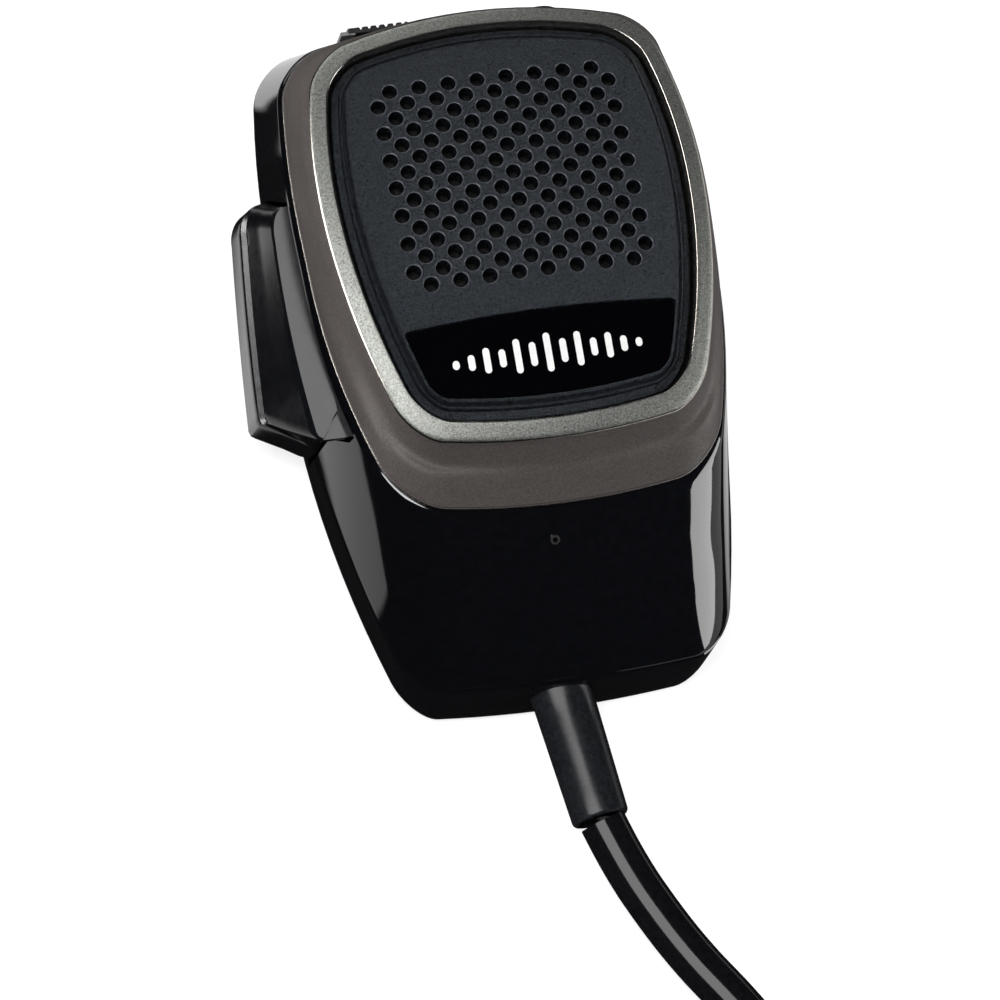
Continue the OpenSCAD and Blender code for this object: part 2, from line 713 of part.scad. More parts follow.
module plug_insert() {
    color([0.25, 0.2, 0.12]) at_plug() difference() {
        translate([0, 0, 13.4]) cylinder(r = 6.75, h = 8);
        for (a = [45:90:359]) rotate(a) translate([3.4, 0, 12]) cylinder(r = 0.9, h = 14, $fn = 24);
    }
}

module plug_contacts() {
    color([0.8, 0.65, 0.3]) at_plug() for (a = [45:90:359]) rotate(a) translate([3.4, 0, 13.8]) difference() {
        cylinder(r = 0.9, h = 11.5, $fn = 24);
        translate([0, 0, -1]) cylinder(r = 0.55, h = 8, $fn = 24);
    }
}

module plug_ring() {
    color([0.8, 0.8, 0.81]) at_plug() difference() {
        cylinder(r = ring_r, h = 18);
        translate([0, 0, -1]) cylinder(r = thread_r, h = 20);
        translate([0, 0, 14.1]) cylinder(r = 8.75, h = 2);
        translate([0, 0, 13]) cylinder(r = 8.1, h = 6);
        for (a = [0:15:359]) rotate(a) translate([ring_r + 0.35, 0, 1.5]) cylinder(r = 0.7, h = 12, $fn = 16);
    }
}

module plug_relief() {
    color([0.05, 0.05, 0.05]) at_plug() difference() {
        rotate_extrude() polygon([[0, 32.6], [4.35, 32.6], [4.35, 36.2], [5.2, 36.2], [4.2, 48], [0, 48]]);
        translate([0, 0, 30]) cylinder(r = cord_d / 2, h = 20);
    }
}

module plug_screw() {
    color([0.6, 0.6, 0.6]) at_plug() translate([0, 7.9, 30]) rotate([90, 0, 0]) difference() {
        cylinder(r = 1.2, h = 2.6, $fn = 24);
        translate([-1, -0.25, -0.1]) cube([2, 0.5, 0.6]);
    }
}

front_shell();
rear_shell();
bezel();
grille_panel();
grille_felt();
name_plate();
port_ring();
mic_capsule();
capsule_boot();
talk_bar();
talk_pin();
talk_spring();
talk_switch();
talk_plunger();
circuit_board();
capacitors();
trimmer();
wire_header();
slide_knob();
slide_switch();
up_button();
down_button();
up_stem();
down_stem();
tact_switches();
hang_button();
hang_screw();
case_screws();
board_screws();
bezel_screws();
strain_relief();
cord_inner();
cord_clamp();
clamp_screws();
cord_lead();
cord_curl();
cord_tail();
cord_tie();
plug_body();
plug_insert();
plug_contacts();
plug_ring();
plug_relief();
plug_screw();
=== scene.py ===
"""Looks of the hand microphone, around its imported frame.

Shapes are worked out in millimetres in the row frame (table at Z = 0, +Y to the top end,
grille up) and turned into metres when a mesh is made.
"""
import json
import math
from collections import namedtuple

import bmesh
import bpy
from mathutils import Matrix, Vector
from mathutils.geometry import delaunay_2d_cdt


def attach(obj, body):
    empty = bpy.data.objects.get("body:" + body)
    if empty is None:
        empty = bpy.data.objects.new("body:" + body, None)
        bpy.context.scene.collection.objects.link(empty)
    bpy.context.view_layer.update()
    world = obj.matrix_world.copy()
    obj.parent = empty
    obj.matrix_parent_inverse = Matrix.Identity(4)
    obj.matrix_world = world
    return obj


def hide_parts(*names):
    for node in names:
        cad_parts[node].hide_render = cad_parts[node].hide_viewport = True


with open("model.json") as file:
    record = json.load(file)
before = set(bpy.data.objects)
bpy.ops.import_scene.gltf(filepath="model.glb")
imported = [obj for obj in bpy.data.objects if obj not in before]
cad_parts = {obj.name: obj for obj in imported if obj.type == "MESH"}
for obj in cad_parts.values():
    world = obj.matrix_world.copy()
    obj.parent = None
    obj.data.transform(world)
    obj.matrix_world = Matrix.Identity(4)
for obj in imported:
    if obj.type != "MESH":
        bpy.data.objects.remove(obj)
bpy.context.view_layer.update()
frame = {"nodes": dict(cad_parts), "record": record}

MM = 0.001


def put(name, data):
    """A new object in the scene."""
    obj = bpy.data.objects.new(name, data)
    bpy.context.scene.collection.objects.link(obj)
    return obj



# ---- Sizes shared with the part, in millimetres ----

SEAT_H = 27.6
GRILLE_H = 39.5
PARTING_H = 12.5
DOME_R = 145
PANEL_T = 1.9
CONTROL_H = 21
BUTTON_R = 3.1
BUTTON_X = (-1.6, 12.9)
KNOB_X = -9.9
BAR_FRONT = 25.8
PIN_X = 26.3
PIN_Y = 1.6
EXIT = Vector((-0.8, -61.5, 7.1))
EXIT_TURN = math.radians(6.3)
EXIT_DIP = math.radians(4.2)
RELIEF_LEN = 19.5
CORD_D = 6.3
CURL_R = 6
CURL_BEND = 12
LEG_X = (21, -3, -27)
CURL_START = -130
CURL_LOW = -225
CURL_HIGH = -145
CURL_STOP = -180
PLUG_Y = -244
PORT = (-1.65, -47.3, 25.2)
RING_R = 9.5

# An outline in plan: its half width, its ends, the corners' radii, how fast it narrows above y 0 and
# below taper_from, and how far its ends bow out
Outline = namedtuple("Outline", "half top bottom top_r low_r top_taper low_taper taper_from top_bow low_bow")
PARTING = Outline(29, 32, -63.3, 6.5, 6.2, 0.0034, 0.0031, -15, 0.0016, 0.0016)
SEAT = Outline(28.2, 27.7, -43.8, 6.5, 7, 0.0032, 0.005, -8, 0.004, 0.003)
BEZEL = Outline(27.6, 27, -43.2, 6, 7, 0.0032, 0.005, -8, 0.004, 0.003)
BEZEL_MID = Outline(27.75, 26.6, -39.9, 5, 6.5, 0.0038, 0.0048, -4, 0.0042, 0.0033)
BEZEL_HIGH = Outline(27.15, 25.6, -38.6, 4.6, 6, 0.005, 0.0046, 0, 0.0045, 0.0036)
RIM_OUT = Outline(26.1, 24.4, -36.2, 5.5, 5.2, 0.0055, 0.0048, 0, 0.005, 0.0036)
RIM_IN = Outline(24.25, 22.4, -34, 5, 5, 0.006, 0.0052, 0, 0.0053, 0.0038)
PANEL = Outline(23.3, 21.6, -33.2, 4.5, 4.5, 0.006, 0.0052, 0, 0.0053, 0.0038)
PLATEAU = Outline(21.7, 20, -31.4, 3.6, 3, 0.006, 0.0053, 0, 0.0053, 0.0038)
PLATE = Outline(20.3, -19.5, -30.6, 0.5, 1.6, 0, 0.0046, 0, 0.0012, 0.0038)


# ---- Camera ----

CAMERA_AT = (-0.28569, -0.42473, 1.12574)
CAMERA_RIGHT = Vector((0.96404, -0.20172, 0.17302))
CAMERA_UP = Vector((0.12983, 0.92555, 0.35567))
LENS = 323.9
SENSOR = 36
CLIP = (0.05, 20)


def make_camera():
    data = bpy.data.cameras.new("camera")
    data.lens = LENS
    data.sensor_width = SENSOR
    data.clip_start, data.clip_end = CLIP
    camera = put("camera", data)
    turn = Matrix((CAMERA_RIGHT, CAMERA_UP, CAMERA_RIGHT.cross(CAMERA_UP))).transposed()
    camera.matrix_world = Matrix.Translation(CAMERA_AT) @ turn.to_4x4()
    bpy.context.scene.camera = camera


make_camera()


# ---- Outlines ----

def mix(a, b, t):
    return a + (b - a) * t


def between(a, b, t):
    """A named row part of the way from a to b."""
    return a._make(mix(p, q, t) for p, q in zip(a, b))


def grown(o, g):
    """The outline moved out by g."""
    return o._replace(
        half=o.half + g, top=o.top + g, bottom=o.bottom - g,
        top_r=max(0.4, o.top_r + g), low_r=max(0.4, o.low_r + g),
    )


def warped(o, x, y):
    """Puts the outline's taper and bow on a point of its plain shape."""
    taper = 1 - (o.top_taper * max(0, y) ** 2 + o.low_taper * max(0, o.taper_from - y) ** 2) / o.half
    mid = (o.top + o.bottom) / 2
    reach = (o.top - o.bottom) / 2
    bow = x * x * (o.low_bow * max(0, (mid - y) / reach) - o.top_bow * max(0, (y - mid) / reach))
    return x * taper, y + bow


def arc(cx, cy, r, start, turn, steps):
    """Points round a centre, from an angle on through a turn, both in degrees."""
    angles = [math.radians(start + turn * k / steps) for k in range(steps + 1)]
    return [(cx + r * math.cos(a), cy + r * math.sin(a)) for a in angles]


def outline(o, arc_steps=10, end_steps=12, side_steps=20):
    """One closed outline, anticlockwise from the right-hand top corner."""
    top_x = o.half - o.top_r
    top_y = o.top - o.top_r
    low_x = o.half - o.low_r
    low_y = o.bottom + o.low_r
    corners = (
        (top_x, top_y, o.top_r, 0), (-top_x, top_y, o.top_r, 90),
        (-low_x, low_y, o.low_r, 180), (low_x, low_y, o.low_r, 270),
    )
    points = []
    for i, corner in enumerate(corners):
        points += arc(*corner, 90, arc_steps)
        last = points[-1]
        end = arc(*corners[(i + 1) % 4], 0, 1)[0]
        steps = side_steps if i % 2 else end_steps
        for k in range(1, steps):
            points.append((mix(last[0], end[0], k / steps), mix(last[1], end[1], k / steps)))
    return [warped(o, x, y) for x, y in points]


def dome(x, y, dz=0.0):
    """Height of the domed front, or of a surface dz outside it."""
    return GRILLE_H - DOME_R + math.sqrt((DOME_R + dz) ** 2 - x * x - y * y)


def flat_ring(o, z):
    return [Vector((x, y, z)) for x, y in outline(o)]


def on_dome(loop, dz):
    return [Vector((x, y, dome(x, y, dz))) for x, y in loop]


def dome_ring(o, dz):
    return on_dome(outline(o), dz)


def dome_rings(o, steps):
    """Rings that follow the dome, each (growth of the outline, height from the dome)."""
    return [dome_ring(grown(o, g), dz) for g, dz in steps]


def spline(p0, p1, p2, p3, t):
    """A smooth curve's point between p1 and p2."""
    a = 2 * p1 + (p2 - p0) * t
    b = (2 * p0 - 5 * p1 + 4 * p2 - p3) * t * t
    c = (3 * p1 - p0 - 3 * p2 + p3) * t ** 3
    return (a + b + c) / 2


def blended_rings(rings, steps):
    """Puts smooth in-between rings between the given ones."""
    out = []
    for i in range(len(rings) - 1):
        around = (rings[max(i - 1, 0)], rings[i], rings[i + 1], rings[min(i + 2, len(rings) - 1)])
        for k in range(steps):
            out.append([spline(*four, k / steps) for four in zip(*around)])
    out.append(rings[-1])
    return out


# ---- Meshes ----

def finish_mesh(mesh, sharp):
    mesh.shade_smooth()
    mesh.set_sharp_from_angle(angle=math.radians(sharp))


def new_mesh(name, points, faces, weld):
    """A mesh from points in millimetres, with its faces turned outwards."""
    mesh = bpy.data.meshes.new(name)
    mesh.from_pydata([tuple(p * MM for p in v) for v in points], [], faces)
    if weld:
        mesh.validate()
    work = bmesh.new()
    work.from_mesh(mesh)
    if weld:
        bmesh.ops.remove_doubles(work, verts=work.verts, dist=1e-7)
    bmesh.ops.recalc_face_normals(work, faces=work.faces)
    work.to_mesh(mesh)
    work.free()
    return mesh


def strips(rings, loop=False):
    """Faces between rings that follow each other."""
    n = len(rings[0])
    m = len(rings)
    faces = []
    for i in range(m if loop else m - 1):
        a = i * n
        b = (i + 1) % m * n
        faces += [(a + j, b + j, b + (j + 1) % n, a + (j + 1) % n) for j in range(n)]
    return faces


def band(rings, loop=True):
    """Points and faces of rings that follow each other and, with loop, close on the first."""
    return [p for ring in rings for p in ring], strips(rings, loop)


def append(points, faces, shape):
    """Adds a shape's own points and faces to the lists."""
    start = len(points)
    points.extend(shape[0])
    faces.extend(tuple(start + i for i in face) for face in shape[1])


def ring_stack(rings):
    """Points and faces of a stack of rings, its ends closed with a fan."""
    points, faces = band(rings, loop=False)
    n = len(rings[0])
    for start, ring in ((0, rings[0]), ((len(rings) - 1) * n, rings[-1])):
        points.append(sum(ring, Vector()) / n)
        faces += [(len(points) - 1, start + j, start + (j + 1) % n) for j in range(n)]
    return points, faces


def turned_rings(profile, place, sides):
    """Rings from (radius, height) pairs, about place's own Z axis."""
    angles = [2 * math.pi * j / sides for j in range(sides)]
    return [[place @ Vector((r * math.cos(a), r * math.sin(a), h)) for a in angles] for r, h in profile]


def lathe(profile, place, sides=48):
    """A round solid from (radius, height) pairs, its ends closed."""
    return ring_stack(turned_rings([(max(r, 1e-4), h) for r, h in profile], place, sides))


def rod(r, place, low, high, sides=48):
    return lathe([(r, low), (r, high)], place, sides)


def upright(x, y):
    return Matrix.Translation((x, y, 0))


def rounded(profile, r=0.25, steps=3):
    """Cuts each inner corner of an open profile into a small arc-like chamfer."""
    out = [profile[0]]
    for a, b, c in zip(profile, profile[1:], profile[2:]):
        pa, pb, pc = Vector(a), Vector(b), Vector(c)
        cut = min(r, (pa - pb).length * 0.45, (pc - pb).length * 0.45)
        start = pb + (pa - pb).normalized() * cut
        end = pb + (pc - pb).normalized() * cut
        for k in range(steps + 1):
            t = k / steps
            p = start * (1 - t) ** 2 + pb * 2 * t * (1 - t) + end * t * t
            out.append((p.x, p.y))
    out.append(profile[-1])
    return out


def along_y(x, y, z):
    """Local Z points to the top end."""
    return Matrix.Translation((x, y, z)) @ Matrix.Rotation(-math.pi / 2, 4, "X")


def exit_place():
    """Local Z points out along the cord's sleeve."""
    turn = Matrix.Rotation(EXIT_TURN, 4, "Z") @ Matrix.Rotation(EXIT_DIP, 4, "X")
    return Matrix.Translation(EXIT) @ turn @ Matrix.Rotation(math.pi / 2, 4, "X")


def plug_place():
    """Local Z points from the plug's open face back to its cord."""
    return Matrix.Translation((LEG_X[2], PLUG_Y, RING_R)) @ Matrix.Rotation(-math.pi / 2, 4, "X")


def combine(obj, solids, operation="DIFFERENCE", sharp=32):
    """Takes solids, given as (points, faces) and clear of each other, out of a piece or adds them."""
    points = []
    faces = []
    for solid in solids:
        append(points, faces, solid)
    mesh = new_mesh("tool", points, faces, weld=False)
    tool = put("tool", mesh)
    change = obj.modifiers.new("change", "BOOLEAN")
    change.operation = operation
    change.solver = "EXACT"
    change.use_self = True
    change.object = tool
    bpy.context.view_layer.update()
    result = bpy.data.meshes.new_from_object(obj.evaluated_get(bpy.context.evaluated_depsgraph_get()))
    obj.modifiers.remove(change)
    old = obj.data
    obj.data = result
    bpy.data.meshes.remove(old)
    bpy.data.objects.remove(tool)
    bpy.data.meshes.remove(mesh)
    finish_mesh(result, sharp)


def prism(polygon, place, length):
    """A straight prism over a polygon in place's own XY plane."""
    n = len(polygon)
    points = [place @ Vector((x, y, z)) for z in (0, length) for x, y in polygon]
    sides = [(j, (j + 1) % n, n + (j + 1) % n, n + j) for j in range(n)]
    return points, [tuple(range(n)), tuple(range(2 * n - 1, n - 1, -1))] + sides


def block(low, high):
    polygon = [(low[0], low[1]), (high[0], low[1]), (high[0], high[1]), (low[0], high[1])]
    return prism(polygon, Matrix.Translation((0, 0, low[2])), high[2] - low[2])


# ---- Materials ----

class Graph:
    """Short calls for a node tree. A socket takes a constant or another node's output."""

    def __init__(self, tree):
        self.tree = tree

    def give(self, socket, value):
        if isinstance(value, bpy.types.NodeSocket):
            self.tree.links.new(value, socket)
        else:
            socket.default_value = value

    def fill(self, node, **values):
        """Fills sockets by name. An underscore stands for a space."""
        for key, value in values.items():
            self.give(node.inputs[key.replace("_", " ")], value)
        return node

    def node(self, kind, **values):
        return self.fill(self.tree.nodes.new("ShaderNode" + kind), **values)

    def join(self, kind, *ends):
        """A new node with its first sockets filled in order. Gives its output."""
        node = self.node(kind)
        for socket, end in zip(node.inputs, ends):
            self.give(socket, end)
        return node.outputs[0]

    def math(self, operation, *ends):
        result = self.join("Math", *ends)
        result.node.operation = operation
        return result


def paint(name, tone, dark, light, ends, gloss, rough, relief, depth, **fixed):
    """A surface from three noises, (scale, detail, roughness) each, for its tone, gloss and relief."""
    material = bpy.data.materials.new(name)
    material.use_nodes = True
    graph = Graph(material.node_tree)
    place = graph.node("TexCoord").outputs["Object"]

    def noise(scale, detail, fine=0.5):
        node = graph.node("TexNoise", Vector=place, Scale=scale, Detail=detail, Roughness=fine)
        return node.outputs["Fac"]

    ramp = graph.node("ValToRGB", Fac=noise(*tone))
    for stop, colour, at in zip(ramp.color_ramp.elements, (dark, light), ends):
        stop.position = at
        stop.color = (*colour, 1)
    low, high = rough
    spread = graph.node("MapRange", Value=noise(*gloss), From_Min=0.3, From_Max=0.7, To_Min=low, To_Max=high)
    bump = graph.node("Bump", Height=noise(*relief), Distance=depth * MM, Strength=1)
    graph.fill(
        graph.tree.nodes["Principled BSDF"], Base_Color=ramp.outputs["Color"],
        Roughness=spread.outputs["Result"], Normal=bump.outputs["Normal"], **fixed,
    )
    return material


ENDS = (0.35, 0.65)


def plain(name, dark, light, rough, grain=900, depth=0.01, metallic=0.0, specular=0.5):
    """A moulded or metal surface: fine mottling in colour, gloss and relief."""
    fine = (grain, 4, 0.6)
    slow = (grain / 6, 2)
    return paint(
        name, fine, dark, light, ENDS, slow, rough, fine, depth,
        Metallic=metallic, Specular_IOR_Level=specular,
    )


# Name, dark and light colour, lowest and highest roughness, grain, relief in mm, metallic, specular
PLAIN = (
    # painted highlight: a lighter metal for thin bright lines along the grille frame's edges
    ("lip_paint", (0.42, 0.39, 0.35), (0.58, 0.54, 0.49), (0.18, 0.26), 1500, 0.004, 1),
    # painted highlight: a lighter dark grey for the rims of the sound holes
    ("hole_edge", (0.03, 0.034, 0.042), (0.06, 0.066, 0.078), (0.25, 0.35), 2600, 0.01),
    ("plate_black", (0.0006, 0.0006, 0.0011), (0.0009, 0.0009, 0.0015), (0.03, 0.05), 900, 0.0005),
    ("print_white", (0.82, 0.82, 0.81), (0.9, 0.9, 0.89), (0.35, 0.45), 1200, 0.004),
    ("felt", (0.004, 0.004, 0.004), (0.02, 0.02, 0.02), (0.9, 1), 2500, 0.12, 0, 0.1),
    ("satin_metal", (0.5, 0.5, 0.49), (0.62, 0.62, 0.61), (0.24, 0.36), 1400, 0.008, 1),
    ("screw_metal", (0.5, 0.5, 0.5), (0.66, 0.66, 0.66), (0.2, 0.32), 900, 0.006, 1),
    ("soft_black", (0.006, 0.0065, 0.008), (0.013, 0.0138, 0.0165), (0.24, 0.3), 1600, 0.006),
    ("switch_black", (0.012, 0.012, 0.013), (0.022, 0.022, 0.024), (0.35, 0.5), 2000, 0.012),
    ("knob_grey", (0.13, 0.13, 0.135), (0.19, 0.19, 0.195), (0.35, 0.5), 2000, 0.012),
    ("plunger_red", (0.4, 0.02, 0.015), (0.5, 0.03, 0.02), (0.3, 0.4)),
    ("board_green", (0.01, 0.09, 0.03), (0.02, 0.14, 0.05), (0.25, 0.4), 600, 0.01),
    ("can_blue", (0.01, 0.015, 0.09), (0.02, 0.03, 0.14), (0.25, 0.35), 700, 0.005),
    ("trimmer_blue", (0.02, 0.09, 0.35), (0.03, 0.12, 0.45), (0.3, 0.4), 900, 0.008),
    ("header_cream", (0.6, 0.57, 0.47), (0.7, 0.67, 0.57), (0.4, 0.5), 1200, 0.01),
    ("cord_black", (0.003, 0.003, 0.004), (0.005, 0.005, 0.006), (0.1, 0.14), 1300, 0.002),
    ("tie_black", (0.01, 0.01, 0.012), (0.03, 0.03, 0.035), (0.8, 0.95), 2600, 0.06),
    ("plug_metal", (0.55, 0.55, 0.54), (0.68, 0.68, 0.67), (0.12, 0.22), 700, 0.004, 1),
    ("insert_brown", (0.05, 0.025, 0.01), (0.08, 0.04, 0.02), (0.35, 0.45), 900, 0.01),
    ("contact_metal", (0.75, 0.55, 0.25), (0.85, 0.65, 0.32), (0.15, 0.25), 900, 0.004, 1),
)
MATERIALS = {row[0]: plain(*row) for row in PLAIN}
SMOOTH = (900, 2)
FLAKES = (3800, 2, 0.7)
BLASTED = (4200, 4, 0.75)
ERODED = (2600, 4, 0.7)
MATERIALS.update(
    # Polished moulding, with the faintest orange peel
    gloss_black=paint(
        "gloss_black", SMOOTH, (0.0018, 0.0019, 0.0026), (0.0024, 0.0025, 0.0034), ENDS,
        SMOOTH, (0.05, 0.065), (420, 1), 0.0015, Specular_IOR_Level=0.5,
    ),
    bar_black=paint(
        "bar_black", SMOOTH, (0.0025, 0.0027, 0.0036), (0.0036, 0.0039, 0.005), ENDS,
        SMOOTH, (0.16, 0.2), (2500, 3), 0.004, Specular_IOR_Level=0.4,
    ),
    # Metallic paint: small flakes in a taupe ground
    taupe_paint=paint(
        "taupe_paint", FLAKES, (0.046, 0.039, 0.036), (0.066, 0.057, 0.053), (0.4, 0.62),
        (500, 3), (0.5, 0.58), FLAKES, 0.006, Metallic=0.3, Specular_IOR_Level=0.5,
    ),
    # The same frame's rim, blasted to a fine bright grain
    rim_paint=paint(
        "rim_paint", BLASTED, (0.1, 0.1, 0.093), (0.32, 0.33, 0.305), (0.36, 0.64),
        BLASTED, (0.26, 0.42), BLASTED, 0.05, Metallic=0.8,
    ),
    # Spark-eroded texture, in relief and in tone
    grille_black=paint(
        "grille_black", ERODED, (0.0005, 0.0007, 0.0012), (0.016, 0.0205, 0.029), (0.5, 0.64),
        ERODED, (0.24, 0.42), ERODED, 0.3, Specular_IOR_Level=0.5, Specular_Tint=(0.82, 0.91, 1, 1),
    ),
)


def dress_frame():
    """Every carried-over CAD node gets the material that its record slot names."""
    slots = {entry["node"]: entry["material_slot"] for entry in frame["record"]["subparts"]}
    for node, obj in frame["nodes"].items():
        for place in obj.material_slots:
            place.material = MATERIALS[slots[node]]


dress_frame()


def made(name, body, slot, shape, replaces, sharp=32):
    """A piece from (points, faces), riding on a body in its slot's material, in place of CAD nodes."""
    mesh = new_mesh(name, *shape, weld=True)
    finish_mesh(mesh, sharp)
    mesh.materials.append(MATERIALS[slot])
    obj = put(name, mesh)
    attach(obj, body)
    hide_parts(*replaces)
    return obj


def repaint(obj, slot, wanted):
    """Gives the faces that wanted picks another material."""
    obj.data.materials.append(MATERIALS[slot])
    last = len(obj.data.materials) - 1
    for face in obj.data.polygons:
        if wanted(face):
            face.material_index = last


# ---- Cord ----

LEAD = [
    (1.5, -81.1, 5.6), (2.3, -83.6, 5.2), (3.3, -86.4, 4.7), (4.7, -89.9, 4.2), (6.5, -93.8, 3.8),
    (8.8, -98.3, 3.4), (11.4, -102.8, 3.2), (14.1, -107, 3.15), (16.5, -111.2, 3.15),
    (18.6, -115.7, 3.15), (20.1, -120.4, 3.15), (20.8, -125.2, 3.15), (21, -130, 3.15),
]
TAIL = [
    (-27, -180, 3.15), (-27, -184, 3.9), (-27, -188, 6), (-27, -192, 8.4), (-27, -196, 9.5),
    (-27, -203, 9.5), (-27, -209, 9.5),
]


def smooth_path(points, step=2.0):
    """Points a step apart on a smooth curve through the given ones."""
    points = [Vector(p) for p in points]
    out = []
    for i in range(len(points) - 1):
        p1 = points[i]
        p2 = points[i + 1]
        p0 = points[i - 1] if i else 2 * p1 - p2
        p3 = points[i + 2] if i + 2 < len(points) else 2 * p2 - p1
        count = max(2, round((p2 - p1).length / step))
        out += [spline(p0, p1, p2, p3, k / count) for k in range(count)]
    out.append(points[-1])
    return out


# Along the curls' middle line: a bend's length, where the two bends start, and the whole
BEND_LEN = math.pi * CURL_BEND
LOW_BEND = CURL_START - CURL_LOW
HIGH_BEND = LOW_BEND + BEND_LEN + CURL_HIGH - CURL_LOW
CURL_LEN = HIGH_BEND + BEND_LEN + CURL_HIGH - CURL_STOP
CURL_MID = CURL_R + CORD_D / 2


def curl_spine(s):
    """Middle of the curls after s millimetres, and the level direction to its left."""
    second = LOW_BEND + BEND_LEN
    third = HIGH_BEND + BEND_LEN
    if s < LOW_BEND:
        return Vector((LEG_X[0], CURL_START - s, CURL_MID)), Vector((1, 0, 0))
    if s < second:
        a = (s - LOW_BEND) / CURL_BEND
        out = Vector((math.cos(a), -math.sin(a), 0))
        return Vector((LEG_X[0] - CURL_BEND, CURL_LOW, CURL_MID)) + out * CURL_BEND, out
    if s < HIGH_BEND:
        return Vector((LEG_X[1], CURL_LOW + s - second, CURL_MID)), Vector((-1, 0, 0))
    if s < third:
        a = (s - HIGH_BEND) / CURL_BEND
        out = Vector((math.cos(a), math.sin(a), 0))
        return Vector((LEG_X[1] - CURL_BEND, CURL_HIGH, CURL_MID)) + out * CURL_BEND, -out
    return Vector((LEG_X[2], CURL_HIGH - s + third, CURL_MID)), Vector((1, 0, 0))


def opened_out(s, ease=8):
    """1 in the bends, where the turns stand apart, and 0 away from them."""
    most = 0.0
    for start in (LOW_BEND, HIGH_BEND):
        before = min(1, max(0, (s - start + ease) / ease))
        after = min(1, max(0, (start + BEND_LEN + ease - s) / ease))
        most = max(most, before * after)
    return most


def curl_path(pitch=6.7, bend_pitch=12.6, end_pitch=60, loose=14, per_turn=24, step=0.1):
    """The curly part: turns close together, opened out at the ends and where the curls fold back."""
    count = round(CURL_LEN / step)
    turns = [0.0]
    for i in range(count):
        s = (i + 0.5) * step
        here = mix(pitch, bend_pitch, opened_out(s))
        end_gap = min(s, CURL_LEN - s)
        if end_gap < loose:
            here += end_pitch * (1 - end_gap / loose) ** 2
        turns.append(turns[-1] + step / here)
    whole = round(turns[-1])
    out = []
    i = 0
    for k in range(whole * per_turn + 1):
        wanted = k / per_turn * turns[-1] / whole
        while i < count - 1 and turns[i + 1] < wanted:
            i += 1
        s = (i + (wanted - turns[i]) / (turns[i + 1] - turns[i])) * step
        middle, side = curl_spine(min(s, CURL_LEN))
        angle = 2 * math.pi * k / per_turn - math.pi / 2
        out.append(middle + CURL_R * (math.cos(angle) * side + math.sin(angle) * Vector((0, 0, 1))))
    return out


def even(path, step):
    """The same line with its points an even step apart."""
    out = [path[0]]
    left = step
    for a, b in zip(path, path[1:]):
        gap = (b - a).length
        done = 0.0
        while gap - done >= left:
            done += left
            out.append(a.lerp(b, done / gap))
            left = step
        left -= gap - done
    if (out[-1] - path[-1]).length < step / 2:
        out.pop()
    out.append(path[-1])
    return out


def eased(path, rounds, first, last):
    """Takes the kinks out of a stretch of a line by averaging neighbours."""
    path = list(path)
    for _ in range(rounds):
        before = list(path)
        for i in range(max(first, 1), min(last, len(path) - 1)):
            path[i] = before[i] / 2 + (before[i - 1] + before[i + 1]) / 4
    return path


def tube(path, r, sides=18):
    """Rings around a path, carried along it without twisting."""
    rings = []
    tangent = (path[1] - path[0]).normalized()
    across = tangent.cross(Vector((0, 0, 1))).normalized()
    for i, p in enumerate(path):
        t = (path[min(i + 1, len(path) - 1)] - path[max(i - 1, 0)]).normalized()
        across = (across - t * across.dot(t)).normalized()
        other = t.cross(across)
        angles = [2 * math.pi * j / sides for j in range(sides)]
        rings.append([p + r * (math.cos(a) * across + math.sin(a) * other) for a in angles])
    return ring_stack(rings)


CORD_STEP = 1.6


def make_cord():
    lead = even(smooth_path(LEAD), CORD_STEP)
    curls = even(curl_path(), CORD_STEP)
    tail = even(smooth_path(TAIL), CORD_STEP)
    path = lead[:-1] + curls + tail[1:]
    path = eased(path, 14, len(lead) - 8, len(lead) + 12)
    end = len(path) - len(tail)
    path = eased(path, 14, end - 12, end + 8)
    path = [Vector((p.x, p.y, max(p.z, CORD_D / 2))) for p in path]
    stands_for = ("cord_lead", "cord_curl", "cord_tail")
    cord = made("cord", "case", "cord_black", tube(path, CORD_D / 2), stands_for)
    return cord, [tuple(p * MM) for p in path]


cord_piece, cord_path = make_cord()


# ---- Shells ----

# How far the cord end has moved in, at heights above the table
SLOPE = ((12.5, 0), (13.8, -1.0), (15.3, -2.6), (17.2, -5.0), (20, -8.9), (23.5, -13.5), (27.6, -19.5))
WALL = 2
CAPSULE_HOLE_R = 14
PILLARS = ((-22.4, 19.5), (22.4, 19.5), (-16.5, -48), (16.5, -48))
BOARD_PLACES = ((-13, 15), (13, 15), (0, -33))
CLAMP_PLACES = ((-9.2, -50), (5, -50))
BACK_MIDDLE = -16


def slope_end(z):
    """How far the cord end has moved in at a height, on a smooth curve through SLOPE."""
    for i in range(len(SLOPE) - 1):
        z1, e1 = SLOPE[i]
        z2, e2 = SLOPE[i + 1]
        if z <= z2 or i == len(SLOPE) - 2:
            before = SLOPE[i - 1] if i else (2 * z1 - z2, e1 + 0.3)
            after = SLOPE[i + 2] if i + 2 < len(SLOPE) else (2 * z2 - z1, 2 * e2 - e1)
            m1 = (e2 - before[1]) / (z2 - before[0])
            m2 = (after[1] - e1) / (after[0] - z1)
            t = (z - z1) / (z2 - z1)
            h = z2 - z1
            a = (2 * t ** 3 - 3 * t * t + 1) * e1 + (t ** 3 - 2 * t * t + t) * h * m1
            return a + (3 * t * t - 2 * t ** 3) * e2 + (t ** 3 - t * t) * h * m2


def front_outline(z, g=0.0):
    t = (z - PARTING_H) / (SEAT_H - PARTING_H)
    return grown(between(PARTING, SEAT, t)._replace(bottom=PARTING.bottom - slope_end(z)), g)


def circle_ring(r, z):
    """A round ring with a point for each one of the outlines."""
    angles = [math.atan2(y, x) for x, y in outline(SEAT)]
    return [Vector((r * math.cos(a), r * math.sin(a), z)) for a in angles]


